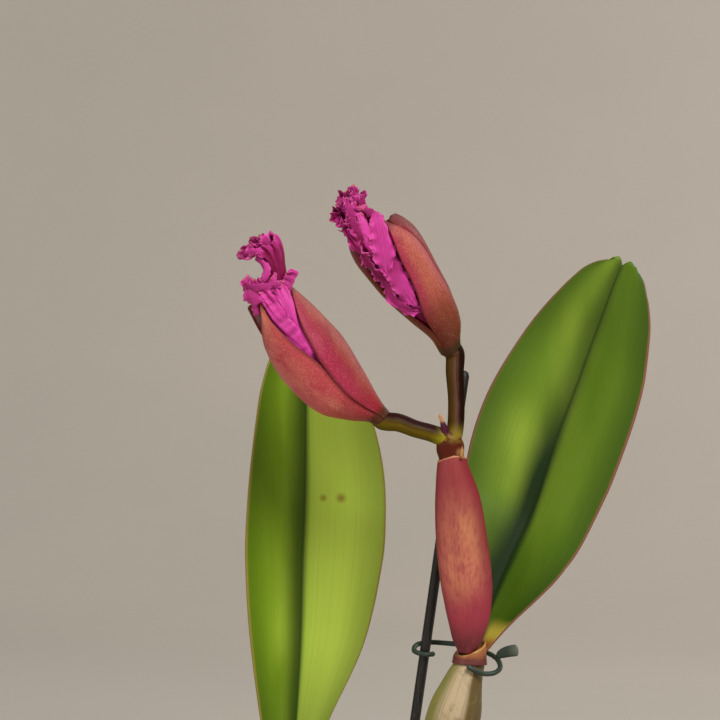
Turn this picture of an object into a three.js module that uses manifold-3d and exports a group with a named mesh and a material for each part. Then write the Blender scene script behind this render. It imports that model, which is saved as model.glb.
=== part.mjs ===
// A cattleya orchid with two opening buds, in its clay pot, life size in millimetres.
// +Z is up, +X is to the right, and the plant shows its face towards -Y.
// The origin is the centre of the pot's base, on the ground.
import * as THREE from "three";
import { mergeVertices } from "three/addons/utils/BufferGeometryUtils.js";
import Module from "manifold-3d";

const wasm = await Module();
wasm.setup();

// ---- Driving dimensions ----

const GAP = 0.3; // air between pieces that touch
const POT = {
  height: 100,
  baseRadius: 44,
  neckRadius: 56,
  rimRadius: 61.5,
  rimHeight: 20,
  wall: 4,
  floor: 5,
};
const DRAIN = { count: 4, radius: 5, ring: 24 };
const BARK = { level: 84, crown: 3, chips: 30, spread: 47, lean: 20 };
const CHIP = { length: 21, width: 14, height: 8, spread: 0.56, skew: 0.34 };
const STAKE = { radius: 1.7, bottom: [-11.6, 20.6, 12], top: [27.1, 4, 287.4], point: 1.6 };
const TIE_STRAND = 0.85; // radius
const LEAF = { edge: 1, midrib: 1.9, groove: 1.6, notch: 2.4, wave: 0.9 };
const SPATHE_WALL = 0.7;
const HUSK_WALL = 0.7;
const SEPAL = 1.3;
const PETAL = 0.7;
const ROOT = { radius: 1.5, taper: 0.25, swing: 38, sink: 7 }; // its end sinks into the bark

// Each bud stands on the end of its stalk: `lean` to the left and `tilt` towards -Y, in degrees.
const LEFT_BUD = { foot: [-2.7, -14, 273.3], lean: 45.4, tilt: 10 };
const RIGHT_BUD = { foot: [21.6, -13.5, 295.3], lean: 34.8, tilt: 25 };

// ---- Colours ----

const finish = (color, roughness) =>
  new THREE.MeshStandardMaterial({ color, roughness, metalness: 0, side: THREE.FrontSide });
const CLAY = finish(0xb0684a, 0.85);
const BARK_BROWN = finish(0x5c4030, 0.9);
const ROOT_GREY = finish(0xbdb8a6, 0.75);
const BULB_GREEN = finish(0x8a8b45, 0.45);
const HUSK_TAN = finish(0xc9b090, 0.8);
const LEAF_GREEN = finish(0x5f7f23, 0.4);
const SPATHE_RED = finish(0xa04a4c, 0.5);
const STALK_OLIVE = finish(0x5b3a1e, 0.4);
const SEPAL_ROSE = finish(0xb4604f, 0.4);
const PETAL_MAGENTA = finish(0xc43f93, 0.5);
const STAKE_BLACK = finish(0x1b1817, 0.5);
const TIE_GREEN = finish(0x2f433c, 0.5);

// ---- Small tools ----

const radians = THREE.MathUtils.degToRad;
const lerp = THREE.MathUtils.lerp;
const vector = (p) => new THREE.Vector3(p[0], p[1], p[2]);

// A repeatable draw between 0 and 1 for the nth thing of a kind.
function draw(n, kind) {
  const wild = Math.sin(n * 12.9898 + kind * 78.233) * 43758.5453;
  return wild - Math.floor(wild);
}

// The values at t of a table whose rows start with t, on a smooth curve through every row.
function along(rows, t) {
  const last = rows.length - 1;
  const next = rows.findIndex((row) => row[0] > t);
  const k = next < 0 ? last - 1 : Math.max(next - 1, 0);
  const span = rows[k + 1][0] - rows[k][0];
  const s = Math.min(Math.max((t - rows[k][0]) / span, 0), 1);
  const ease = s * s * (3 - 2 * s);
  const slope = (i, column) => {
    const before = rows[Math.max(i - 1, 0)];
    const after = rows[Math.min(i + 1, last)];
    return (after[column] - before[column]) / (after[0] - before[0]);
  };
  return rows[k].slice(1).map((value, n) => {
    const leaving = s * (1 - s) * (1 - s) * slope(k, n + 1);
    const arriving = s * s * (1 - s) * slope(k + 1, n + 1);
    return lerp(value, rows[k + 1][n + 1], ease) + span * (leaving - arriving);
  });
}

// Gives rows of points their place along the line they make, from 0 to 1, as a first column.
function measured(rows) {
  const lengths = [0];
  for (let i = 1; i < rows.length; i++)
    lengths.push(lengths[i - 1] + vector(rows[i]).distanceTo(vector(rows[i - 1])));
  return rows.map((row, i) => [lengths[i] / lengths.at(-1), ...row]);
}

// A spine's point at t, its direction T, the way it faces N and its right-hand side S.
// `turn` swings the face from -Y towards +X, in degrees.
function spine(rows, t, turn) {
  const step = 0.004;
  const ahead = vector(along(rows, Math.min(t + step, 1)));
  const behind = vector(along(rows, Math.max(t - step, 0)));
  const T = ahead.sub(behind).normalize();
  const face = new THREE.Vector3(Math.sin(radians(turn)), -Math.cos(radians(turn)), 0);
  const N = face.addScaledVector(T, -face.dot(T)).normalize();
  const S = new THREE.Vector3().crossVectors(T, N);
  return { C: vector(along(rows, t)), T, N, S };
}

function geometry(points, indices) {
  return new THREE.BufferGeometry().setFromPoints(points).setIndex(indices);
}

// A thin blade round a middle surface point(u, v), with u from -1 to 1 across it and v from 0
// to 1 up it. Both faces are split into triangles alike, so a waved blade keeps its thickness.
function blade(columns, rows, point, thickness) {
  const grid = [];
  for (let i = 0; i <= rows; i++)
    for (let j = 0; j <= columns; j++) grid.push([(2 * j) / columns - 1, i / rows]);
  const middle = grid.map(([u, v]) => point(u, v));
  const at = (i, j) => i * (columns + 1) + j;
  const clamp = (n, top) => Math.min(Math.max(n, 0), top);
  const normals = grid.map((_, n) => {
    const i = Math.floor(n / (columns + 1));
    const j = n % (columns + 1);
    const across = middle[at(i, clamp(j + 1, columns))].clone();
    across.sub(middle[at(i, clamp(j - 1, columns))]);
    const up = middle[at(clamp(i + 1, rows), j)].clone().sub(middle[at(clamp(i - 1, rows), j)]);
    return across.cross(up).normalize();
  });
  const side = (sign) =>
    middle.map((p, n) => {
      const half = (sign * thickness(...grid[n])) / 2;
      return p.clone().addScaledVector(normals[n], half);
    });
  const back = middle.length;
  const indices = [];
  for (let i = 0; i < rows; i++)
    for (let j = 0; j < columns; j++) {
      const [a, b, c, d] = [at(i, j), at(i, j + 1), at(i + 1, j + 1), at(i + 1, j)];
      indices.push(a, b, c, a, c, d);
      indices.push(back + a, back + c, back + b, back + a, back + d, back + c);
    }
  const rim = [];
  for (let j = 0; j < columns; j++) rim.push(at(0, j));
  for (let i = 0; i < rows; i++) rim.push(at(i, columns));
  for (let j = columns; j > 0; j--) rim.push(at(rows, j));
  for (let i = rows; i > 0; i--) rim.push(at(i, 0));
  rim.forEach((p, n) => {
    const q = rim[(n + 1) % rim.length];
    indices.push(q, p, back + p, q, back + p, back + q);
  });
  return geometry([...side(1), ...side(-1)], indices);
}

// A solid through rings of points, each counter-clockwise about the way the rings go.
// A closed loft joins its last ring to its first, and an open one is capped at both ends.
function loft(rings, closed = false) {
  const sides = rings[0].length;
  const points = rings.flat();
  const indices = [];
  const joins = closed ? rings.length : rings.length - 1;
  for (let k = 0; k < joins; k++)
    for (let j = 0; j < sides; j++) {
      const [here, there] = [k * sides, ((k + 1) % rings.length) * sides];
      const next = (j + 1) % sides;
      indices.push(here + j, here + next, there + next, here + j, there + next, there + j);
    }
  if (!closed)
    for (const end of [0, rings.length - 1]) {
      const centre = new THREE.Vector3();
      rings[end].forEach((p) => centre.addScaledVector(p, 1 / sides));
      points.push(centre);
      for (let j = 0; j < sides; j++) {
        const [a, b] = [end * sides + j, end * sides + ((j + 1) % sides)];
        indices.push(points.length - 1, ...(end ? [a, b] : [b, a]));
      }
    }
  return geometry(points, indices);
}

// Rings round a spine whose rows hold x, y, z, the half-width and the half-depth. `relief`
// gives the radius as a share at each angle, and `grow` makes every ring wider.
function rings(rows, sides, steps, { grow = 0, relief = () => 1, turn = 0 } = {}) {
  const made = [];
  for (let k = 0; k <= steps; k++) {
    const t = k / steps;
    const { C, N, S } = spine(rows, t, turn);
    const [wide, deep] = along(rows, t).slice(3);
    const ring = [];
    for (let j = 0; j < sides; j++) {
      const angle = (2 * Math.PI * j) / sides;
      const share = relief(angle, t);
      const out = (wide * share + grow) * Math.sin(angle);
      const front = (deep * share + grow) * Math.cos(angle);
      ring.push(C.clone().addScaledVector(S, out).addScaledVector(N, front));
    }
    made.push(ring);
  }
  return made;
}

const rod = (rows, sides, steps, options) => loft(rings(rows, sides, steps, options));

// ---- Joining and cutting ----

function solidOf(shape) {
  const bare = (shape.index ? shape.toNonIndexed() : shape.clone()).deleteAttribute("normal");
  const merged = mergeVertices(bare.deleteAttribute("uv"), 1e-4);
  const mesh = new wasm.Mesh({
    numProp: 3,
    vertProperties: merged.attributes.position.array,
    triVerts: new Uint32Array(merged.index.array),
  });
  return new wasm.Manifold(mesh);
}

function shapeOf(solid) {
  const { vertProperties, triVerts } = solid.getMesh();
  const shape = new THREE.BufferGeometry();
  shape.setAttribute("position", new THREE.BufferAttribute(new Float32Array(vertProperties), 3));
  return shape.setIndex(new THREE.BufferAttribute(new Uint32Array(triVerts), 1));
}

const join = (shapes) => shapes.map(solidOf).reduce((whole, piece) => whole.add(piece));
const cut = (solid, tools) => tools.reduce((rest, tool) => rest.subtract(tool), solid);

// Cuts can leave loose scraps: only the largest body of a solid is kept.
function largest(solid) {
  return solid.decompose().sort((a, b) => b.volume() - a.volume())[0];
}

// Turns a bud's own upright frame to how the bud stands.
function budMatrix({ foot, lean, tilt }) {
  const turn = new THREE.Euler(radians(tilt), -radians(lean), 0, "YXZ");
  return new THREE.Matrix4().makeRotationFromEuler(turn).setPosition(...foot);
}

// ---- The parts, all added to one group ----

const orchid = new THREE.Group();
orchid.name = "cattleya_orchid";

function add(name, shape, material, parent = orchid) {
  const made = shape.isBufferGeometry ? shape : shapeOf(shape);
  made.deleteAttribute("normal");
  const mesh = new THREE.Mesh(made.index ? made : mergeVertices(made), material);
  mesh.geometry.computeVertexNormals();
  mesh.name = name;
  parent.add(mesh);
  return mesh;
}

// ---- Pot: a thrown clay wall with a thicker rim band, and drain holes round the middle ----

const turned = (profile, sides) => {
  const points = profile.map(([r, z]) => new THREE.Vector2(r, z));
  return new THREE.LatheGeometry(points, sides).rotateX(Math.PI / 2);
};
const wallSlope = (POT.neckRadius - POT.baseRadius) / (POT.height - POT.rimHeight);
const innerRadius = (z) => POT.baseRadius + wallSlope * z - POT.wall;

function potShape() {
  const band = POT.height - POT.rimHeight;
  const lip = POT.rimRadius;
  return turned(
    [
      [0, 0],
      [POT.baseRadius - 1.5, 0],
      [POT.baseRadius, 1.5],
      [POT.neckRadius, band - 1.5],
      [lip - 2, band],
      [lip - 1, band + 2],
      [lip, POT.height - 2],
      [lip - 1.5, POT.height],
      [lip - 3.5, POT.height],
      [innerRadius(POT.height), POT.height - 2.5],
      [innerRadius(POT.floor + 2), POT.floor + 2],
      [innerRadius(POT.floor) - 2, POT.floor],
      [0, POT.floor],
    ],
    32,
  );
}

function drainHoles() {
  const holes = [];
  for (let k = 0; k < DRAIN.count; k++) {
    const angle = (2 * Math.PI * (k + 0.5)) / DRAIN.count;
    const hole = new THREE.CylinderGeometry(DRAIN.radius, DRAIN.radius, 4 * POT.floor, 16);
    hole.rotateX(Math.PI / 2);
    hole.translate(DRAIN.ring * Math.cos(angle), DRAIN.ring * Math.sin(angle), POT.floor);
    holes.push(solidOf(hole));
  }
  return holes;
}

add("pot", cut(solidOf(potShape()), drainHoles()), CLAY);

// ---- Stake: a thin coated rod pushed down through the bark, with a short point on top ----

function stakeShape(grow = 0) {
  const [bottom, top] = [vector(STAKE.bottom), vector(STAKE.top)];
  const length = top.distanceTo(bottom);
  const r = STAKE.radius + grow;
  const shaft = new THREE.CylinderGeometry(r, r, length - STAKE.point, 12);
  shaft.translate(0, (length - STAKE.point) / 2, 0);
  const tip = new THREE.CylinderGeometry(0.55 * r, r, STAKE.point, 12);
  tip.translate(0, length - STAKE.point / 2, 0);
  const turn = new THREE.Quaternion();
  turn.setFromUnitVectors(new THREE.Vector3(0, 1, 0), top.clone().sub(bottom).normalize());
  const place = (shape) => solidOf(shape.applyQuaternion(turn).translate(...bottom));
  return place(shaft).add(place(tip));
}

add("support_stake", stakeShape(), STAKE_BLACK);

// ---- Rhizome and roots: the creeping stem on the bark, and the roots that grow from it ----

const RHIZOME = measured([
  [-27, 34, 87.5, 3.2, 3],
  [-21, 26, 89.5, 4.6, 4],
  [-11, 12, 89, 3.8, 3.6],
  [-3, 2, 88.5, 4, 3.8],
  [5, -8, 89, 5, 4.4],
  [9, -14, 88.5, 2.6, 2.6],
]);
const RHIZOME_SCARS = { count: 7, depth: 0.12 };

// Where each root leaves the rhizome (0 to 1 along it), its heading in degrees and its length.
const ROOTS = [
  [0.93, -75, 32],
  [0.86, -30, 38],
  [0.8, 175, 30],
  [0.62, -2, 40],
  [0.45, -150, 36],
];

// How far out along its length a root has come at each step, and how high it lies there.
const ROOT_STEPS = [
  [0, 0],
  [0.15, 3.2],
  [0.4, 3.4],
  [0.65, 2.6],
  [0.85, 1],
  [0.97, -ROOT.sink],
];

function rhizomeShape(grow) {
  const { count, depth } = RHIZOME_SCARS;
  const scars = (_, t) => 1 - depth * Math.cos(2 * Math.PI * count * t) ** 8;
  return rod(RHIZOME, 8, 14, { grow, relief: scars });
}

function rootShape([start, heading, length], n, grow) {
  const [x, y, z] = along(RHIZOME, start);
  const rows = ROOT_STEPS.map(([out, height]) => {
    const swing = ROOT.swing * (draw(n, 3) - 0.5) * Math.sin(4 * out);
    const angle = radians(heading + swing);
    const reach = length * out;
    const r = ROOT.radius * (1 - ROOT.taper * out);
    return [x + reach * Math.cos(angle), y + reach * Math.sin(angle), z + height, r, r];
  });
  return rod(measured(rows), 6, 6, { grow });
}

function rhizome(grow) {
  return join([rhizomeShape(grow), ...ROOTS.map((root, n) => rootShape(root, n, grow))]);
}

add("rhizome_and_roots", rhizome(0), ROOT_GREY);

// ---- Pseudobulbs: ribbed swollen stems, each with a dry husk, on the rhizome ----

const LEAD_BULB = measured([
  [5, -8, 87, 4.6, 4.4],
  [5.9, -7, 99, 6.8, 5.8],
  [8.2, -6, 112, 9, 7.6],
  [11, -5, 126, 10.8, 9],
  [14.2, -4, 139, 11, 9.2],
  [17.8, -3, 152, 10.3, 8.8],
  [21, -2, 164, 9.2, 8],
  [23.9, -1.2, 175, 8.7, 7.4],
  [26.5, -0.5, 184, 6.4, 6],
  [28.4, 0.2, 189.3, 5.1, 5.2],
  [28.8, 0.4, 192.6, 5, 5],
]);
const SECOND_BULB = measured([
  [-20, 22, 86, 4.8, 4.6],
  [-21, 24.5, 92, 6.8, 6.4],
  [-24, 28.5, 102, 8.8, 8],
  [-27.5, 32.5, 113, 8.2, 7.4],
  [-30.5, 35.5, 123, 5.8, 5.4],
  [-32, 37, 130, 4.4, 4.4],
]);
const BULB_RIBS = { count: 6, depth: 0.045 };

const ribs = (phase) => (angle, t) =>
  1 - BULB_RIBS.depth * Math.sin(Math.PI * t) * (1 + Math.cos(BULB_RIBS.count * angle + phase));

function bulb(rows, phase) {
  return cut(solidOf(rod(rows, 16, 10, { relief: ribs(phase) })), [rhizome(GAP)]);
}

// A husk wraps the lower part of a bulb like a split sleeve, with a torn upper edge. It reaches
// from one share of the bulb's length to another, and is open over an angle at the back.
function husk(rows, { from, to, open, facing, lift }) {
  const overlap = 0.25; // one long edge lies a little further out than the other
  const point = (u, v) => {
    const torn = 0.05 * Math.sin(9 * u + facing) + 0.025 * Math.sin(23 * u);
    const t = lerp(from, to + torn, v);
    const { C, N, S } = spine(rows, t, 0);
    const [wide, deep] = along(rows, t).slice(3);
    const angle = radians(facing + u * (180 - open));
    const off = GAP + HUSK_WALL / 2 + lift * v * v + overlap * (1 + u);
    const out = (wide + off) * Math.sin(angle);
    return C.addScaledVector(S, out).addScaledVector(N, (deep + off) * Math.cos(angle));
  };
  return largest(cut(solidOf(blade(12, 3, point, () => HUSK_WALL)), [rhizome(GAP)]));
}

const LEAD_HUSK = { from: 0.09, to: 0.46, open: 16, facing: 20, lift: 1.2 };
const SECOND_HUSK = { from: 0.16, to: 0.72, open: 20, facing: -30, lift: 0.8 };

add("pseudobulb_lead", bulb(LEAD_BULB, 0.6), BULB_GREEN);
add("pseudobulb_second", bulb(SECOND_BULB, 2), BULB_GREEN);
add("husk_lead", husk(LEAD_BULB, LEAD_HUSK), HUSK_TAN);
add("husk_second", husk(SECOND_BULB, SECOND_HUSK), HUSK_TAN);

// ---- Bark: the pot's filling, its top covered with loose chips, with plain holes for what
// stands in it ----

function barkFill(top) {
  const inset = (z) => innerRadius(z) - GAP;
  const floor = POT.floor + GAP;
  return turned(
    [
      [0, floor],
      [inset(floor) - 3, floor],
      [inset(floor + 3), floor + 3],
      [inset(top), top],
      [inset(top) * 0.6, top + BARK.crown * 0.7],
      [0, top + BARK.crown],
    ],
    24,
  );
}

// A chip is a skewed block. Chips are spread evenly over the bark as seeds are in a sunflower.
function chip(n) {
  const share = (n + 0.5) / BARK.chips;
  const angle = radians(137.508) * n;
  const size = (kind) => 1 + CHIP.spread * (draw(n, kind) - 0.5);
  const [length, width, height] = [CHIP.length * size(8), CHIP.width * size(9), CHIP.height * size(10)];
  const shape = new THREE.BoxGeometry(length, width, height);
  const corners = shape.attributes.position;
  for (let k = 0; k < corners.count; k++) {
    const [x, y, z] = [corners.getX(k), corners.getY(k), corners.getZ(k)];
    const corner = Math.sign(x) + 2 * Math.sign(y) + 4 * Math.sign(z);
    const skew = (kind) => 1 - CHIP.skew * draw(n + 0.13 * corner, kind);
    corners.setXYZ(k, x * skew(11), y * skew(12), z * skew(13));
  }
  const lean = (kind) => radians(BARK.lean) * (2 * draw(n, kind) - 1);
  shape.rotateX(lean(14)).rotateY(lean(15)).rotateZ(2 * Math.PI * draw(n, 16));
  const radius = BARK.spread * Math.sqrt(share);
  const level = BARK.level + BARK.crown * (1 - share) + 2.6 * draw(n, 17);
  return shape.translate(radius * Math.cos(angle), radius * Math.sin(angle), level);
}

function bark() {
  const chips = Array.from({ length: BARK.chips }, (_, n) => chip(n));
  const heap = join([barkFill(BARK.level), ...chips]);
  const room = solidOf(barkFill(POT.height + 10));
  const holes = [rhizome(GAP), stakeShape(GAP)];
  for (const [rows, options] of [
    [LEAD_BULB, LEAD_HUSK],
    [SECOND_BULB, SECOND_HUSK],
  ]) {
    const clear = 3 * GAP + HUSK_WALL + options.lift;
    holes.push(solidOf(rod(rows, 12, 6, { grow: clear })));
  }
  return largest(cut(heap.intersect(room), holes));
}

add("bark_medium", bark(), BARK_BROWN);

// ---- Leaves: thick straps, folded along a grooved midrib ----

// Rows: x, y, z of the midrib, half-width to the left and right, fold and turn in degrees.
const RIGHT_LEAF = measured([
  [30.6, 3, 193, 3.9, 3.5, 30, -10],
  [34.5, 6.5, 205, 8, 11, 28, -12],
  [39.1, 9, 217, 13.8, 18, 24, -15],
  [44, 11, 227.6, 19.6, 21.7, 22, -16],
  [49.4, 13, 238.7, 24.1, 23.5, 20, -17],
  [54.5, 14.2, 253, 27.2, 25.9, 20, -17],
  [59.7, 15, 267.3, 28, 26.5, 20, -17],
  [65, 14.2, 281, 26.6, 25.7, 20, -17],
  [69.7, 13, 294.4, 23.1, 23.5, 19, -17],
  [74, 10.5, 306.5, 18.4, 19.3, 18, -16],
  [77.3, 8.5, 316, 13.2, 13.9, 16, -15],
  [79.2, 7.2, 320.8, 8.8, 9.6, 12, -14],
  [80, 6.6, 322.8, 5.3, 6.1, 8, -14],
]);
const LEFT_LEAF = measured([
  [-32.6, 37.4, 131, 3.1, 3.2, 34, 16],
  [-31.8, 39.4, 147, 8.2, 5.8, 30, 18],
  [-30.6, 41, 166.1, 16.9, 12.2, 27, 21],
  [-29.2, 44, 193.6, 24.3, 23.4, 25, 22],
  [-28.6, 46, 221.3, 27.1, 28.6, 25, 22],
  [-27.8, 46.4, 241, 26.9, 28.8, 25, 22],
  [-27.5, 46, 256.1, 25.5, 27.4, 25, 22],
  [-27.4, 45, 272, 22.3, 23.4, 24, 21],
  [-27.4, 44, 284, 18.9, 18.4, 22, 20],
  [-27.6, 42.6, 295, 13.3, 10.8, 18, 19],
  [-27.8, 41.4, 302, 5.5, 4, 10, 18],
]);

function leaf(rows) {
  const point = (u, v) => {
    const [left, right, fold, turn] = along(rows, v).slice(3);
    const { C, T, N, S } = spine(rows, v, turn);
    const out = u * (u < 0 ? left : right);
    const rise = Math.hypot(out, LEAF.groove) - LEAF.groove;
    const wave = LEAF.wave * u * u * Math.sin(9 * v + 2 * Math.sign(u));
    const lobe = LEAF.notch * v ** 14 * Math.sin(Math.PI * Math.min(1.25 * Math.abs(u), 1));
    C.addScaledVector(S, out * Math.cos(radians(fold))).addScaledVector(T, lobe);
    return C.addScaledVector(N, rise * Math.sin(radians(fold)) + wave);
  };
  return blade(8, 18, point, (u) => lerp(LEAF.midrib, LEAF.edge, Math.abs(u)));
}

add("leaf_right", leaf(RIGHT_LEAF), LEAF_GREEN);
add("leaf_left", leaf(LEFT_LEAF), LEAF_GREEN);

// ---- Flower stem: from the bulb's neck up through the spathe to a knuckle with a dry bract ----

const STEM = measured([
  [27.4, -2.8, 193.7, 1.6, 1.5],
  [27.9, -4.6, 204, 2, 1.9],
  [27.2, -6.2, 218, 2.2, 2.2],
  [24.9, -9.1, 238, 2.5, 2.4],
  [23, -11.2, 252.5, 2.8, 2.5],
  [22, -12.1, 260.5, 3, 2.7],
]);
const KNUCKLE = measured([
  [21.9, -12.1, 259.2, 3, 2.7],
  [21.1, -12.4, 261.4, 4.2, 3.3],
  [20.7, -12.7, 263.5, 4.5, 3.4],
  [20.6, -13, 265.6, 3.2, 2.6],
]);
const BRACT = measured([
  [21, -13.4, 263, 1.6, 1.4],
  [20, -14, 266.5, 1.5, 1.2],
  [19.2, -14.4, 269.6, 1.5, 1],
  [18.5, -14.7, 273, 0.7, 0.6],
]);

function stem(grow) {
  const shapes = [rod(STEM, 12, 7, { grow }), rod(KNUCKLE, 12, 3, { grow })];
  return join([...shapes, rod(BRACT, 6, 4, { grow })]);
}

add("flower_stem", stem(0), STALK_OLIVE);

// ---- Spathe: the flat sleeve the flower stem grew up through, open at the top ----

// Rows: x, y, z, half-width and half-depth outside.
const SPATHE = measured([
  [27.4, -2.9, 194.1, 2.9, 2.7],
  [27.6, -3.8, 198.3, 5, 3.4],
  [28, -4.6, 204.7, 6.9, 4],
  [27.8, -5.4, 211.4, 8, 4.4],
  [27.2, -6.2, 218.1, 8.6, 4.7],
  [25.6, -8.2, 231.5, 8.5, 4.9],
  [24.2, -10.2, 244.8, 7.5, 4.8],
  [22.9, -11.2, 253, 5.9, 4.5],
  [22.2, -11.8, 258.2, 4.7, 4.2],
]);

function spathe() {
  const lens = (angle) => 1 - 0.1 * Math.cos(angle) ** 2 * Math.abs(Math.sin(angle));
  const sleeve = (grow) => {
    const made = rings(SPATHE, 14, 9, { grow, relief: lens });
    made.at(-1).forEach((p, j) => {
      p.z += 1.3 * Math.cos((2 * Math.PI * j) / 14) ** 2;
    });
    return made;
  };
  return loft([...sleeve(0), ...sleeve(-SPATHE_WALL).reverse()], true);
}

add("floral_sheath", spathe(), SPATHE_RED);

// ---- Flower stalks: one to each bud, meeting the stem's knuckle ----

const heel = (bud, back) => new THREE.Vector3(0, 0, -back).applyMatrix4(budMatrix(bud)).toArray();

const LEFT_STALK = measured([
  [20.2, -13, 265.5, 2.5, 2.5],
  [15.7, -13, 266.9, 2.8, 2.8],
  [10.1, -13.4, 268.4, 2.85, 2.85],
  [4.6, -13.7, 270.4, 3, 3],
  [...heel(LEFT_BUD, 2.6), 3.5, 3.5],
  [...heel(LEFT_BUD, 0.05), 3.75, 3.75],
]);
const RIGHT_STALK = measured([
  [23.2, -12.3, 262, 1.5, 1.6],
  [23.6, -12, 266, 2, 2],
  [23.7, -12, 271, 2.5, 2.5],
  [23.7, -12.3, 278, 2.65, 2.65],
  [23.2, -12.7, 287, 3, 3],
  [...heel(RIGHT_BUD, 2.6), 3.5, 3.5],
  [...heel(RIGHT_BUD, 0.05), 3.9, 3.9],
]);

const stalk = (rows, others) => largest(cut(solidOf(rod(rows, 10, 8)), others));

add("pedicel_left", stalk(LEFT_STALK, [stem(GAP)]), STALK_OLIVE);
add("pedicel_right", stalk(RIGHT_STALK, [stem(GAP)]), STALK_OLIVE);

// ---- Buds, each made upright in its own frame: three fleshy sepals round folded petals ----

// Rows: height, how far the middle lies to +X, and the radius outside the sepals.
const LEFT_BODY = [
  [0, 0, 3.5],
  [5.2, -1.5, 6.3],
  [13.7, -2.7, 10.1],
  [26.7, -1.7, 12.1],
  [36.7, -0.6, 11.5],
  [44.5, 0.9, 9.9],
  [51.1, 2.1, 8.2],
  [56, 3, 6.8],
];
const RIGHT_BODY = [
  [0, 0, 3.9],
  [6.8, 2.1, 5.9],
  [16, 2.2, 8.3],
  [24.9, 1.5, 9.9],
  [34, 1.3, 10.9],
  [42, 1.1, 11.3],
  [50, 0.4, 9.4],
  [56, 0, 8],
];

// Rows of each sepal: share of its length, height, middle and half-angle round the bud in
// degrees, and how far it stands off the closed bud. Angle 0 faces -Y and 90 faces +X.
const LEFT_SEPALS = {
  front: [
    [0, 0.4, -57, 58, 0],
    [0.45, 25, -57, 59, 0],
    [0.6, 32, -57, 54, 0],
    [0.71, 38, -58, 42, 0],
    [0.83, 44.5, -48, 26, 0],
    [0.92, 49, -38, 14, 0.2],
    [1, 53.3, -28, 3.2, 0.4],
  ],
  right: [
    [0, 0.4, 63, 58, 0],
    [0.47, 25, 63, 58.5, 0],
    [0.7, 36, 65, 51, 0],
    [0.8, 40.5, 67, 46, 0],
    [0.88, 44.5, 69, 36, 0],
    [0.95, 48, 72, 22, 0.1],
    [1, 50.9, 74, 3.4, 0.2],
  ],
  back: [
    [0, 0.4, 183, 58, 0],
    [0.45, 25, 184, 59, 0],
    [0.66, 36, 189, 53, 0],
    [0.8, 43, 203, 41, 0.2],
    [0.92, 50, 230, 22, 0.6],
    [1, 54.6, 251, 3.6, 0.9],
  ],
};
const RIGHT_SEPALS = {
  front: [
    [0, 0.4, 19, 57.5, 0],
    [0.17, 9, 18, 57.5, 0],
    [0.3, 15, 22, 48, 0],
    [0.5, 26, 28, 34, 0],
    [0.66, 34, 30, 30, 0],
    [0.8, 41, 30, 22, 0],
    [0.9, 46.5, 34, 17, 0],
    [1, 52.6, 37, 2.8, 0.3],
  ],
  back: [
    [0, 0.4, 139, 58, 0],
    [0.17, 9, 138, 59, 0],
    [0.5, 26, 120, 56, 0],
    [0.65, 34, 111, 49, 0],
    [0.78, 40, 102, 46, 0],
    [0.88, 46, 89, 34, 0],
    [0.95, 49.5, 76, 21, 0],
    [1, 52.6, 60, 3.2, 0],
  ],
  left: [
    [0, 0.4, -101, 58, 0],
    [0.17, 9, -102, 58, 0],
    [0.5, 27, -112, 50, 0],
    [0.8, 43, -103, 44, 0],
    [0.93, 49.5, -92, 31, 0.2],
    [1, 53.4, -79, 4, 0.4],
  ],
};

function sepal(body, rows, grow = 0) {
  const point = (u, v) => {
    const [height, middle, half, lift] = along(rows, v);
    const [shift, radius] = along(body, height);
    const r = radius + lift - SEPAL / 2;
    const angle = radians(middle + u * (half + THREE.MathUtils.radToDeg(grow / r)));
    const z = height + grow * (2 * v - 1);
    return new THREE.Vector3(shift + r * Math.sin(angle), -r * Math.cos(angle), z);
  };
  const thick = (u) => SEPAL * (1 - 0.25 * u * u) + 2 * grow;
  return blade(6, 11, point, thick);
}

// A petal is a curled blade with a waved edge. Rows: x, y, z of its spine, the way it faces,
// half-width to the left and right, and how far it curls from its middle to its edges.
function petal({ rows, wave, ripples, phase, frill = 0, folds = 0.8, grid = [6, 9] }) {
  const spineRows = measured(rows);
  const point = (u, v) => {
    const [face, left, right, curl] = along(spineRows, v).slice(3);
    const { C, T, N, S } = spine(spineRows, v, face);
    const width = u < 0 ? left : right;
    const bend = radians(curl) || 0.001;
    const out = (width * Math.sin(u * bend)) / bend;
    const back = (width * (1 - Math.cos(u * bend))) / bend;
    const ruffle = wave * v * u * u * Math.sin(2 * Math.PI * ripples * v + phase + Math.sign(u));
    const edge = frill * v ** 6 * Math.sin(2 * Math.PI * folds * u + phase);
    C.addScaledVector(S, out + 0.4 * ruffle);
    C.addScaledVector(N, ruffle - back + 0.6 * edge);
    return C.addScaledVector(T, edge);
  };
  return blade(...grid, point, () => PETAL);
}

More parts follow.
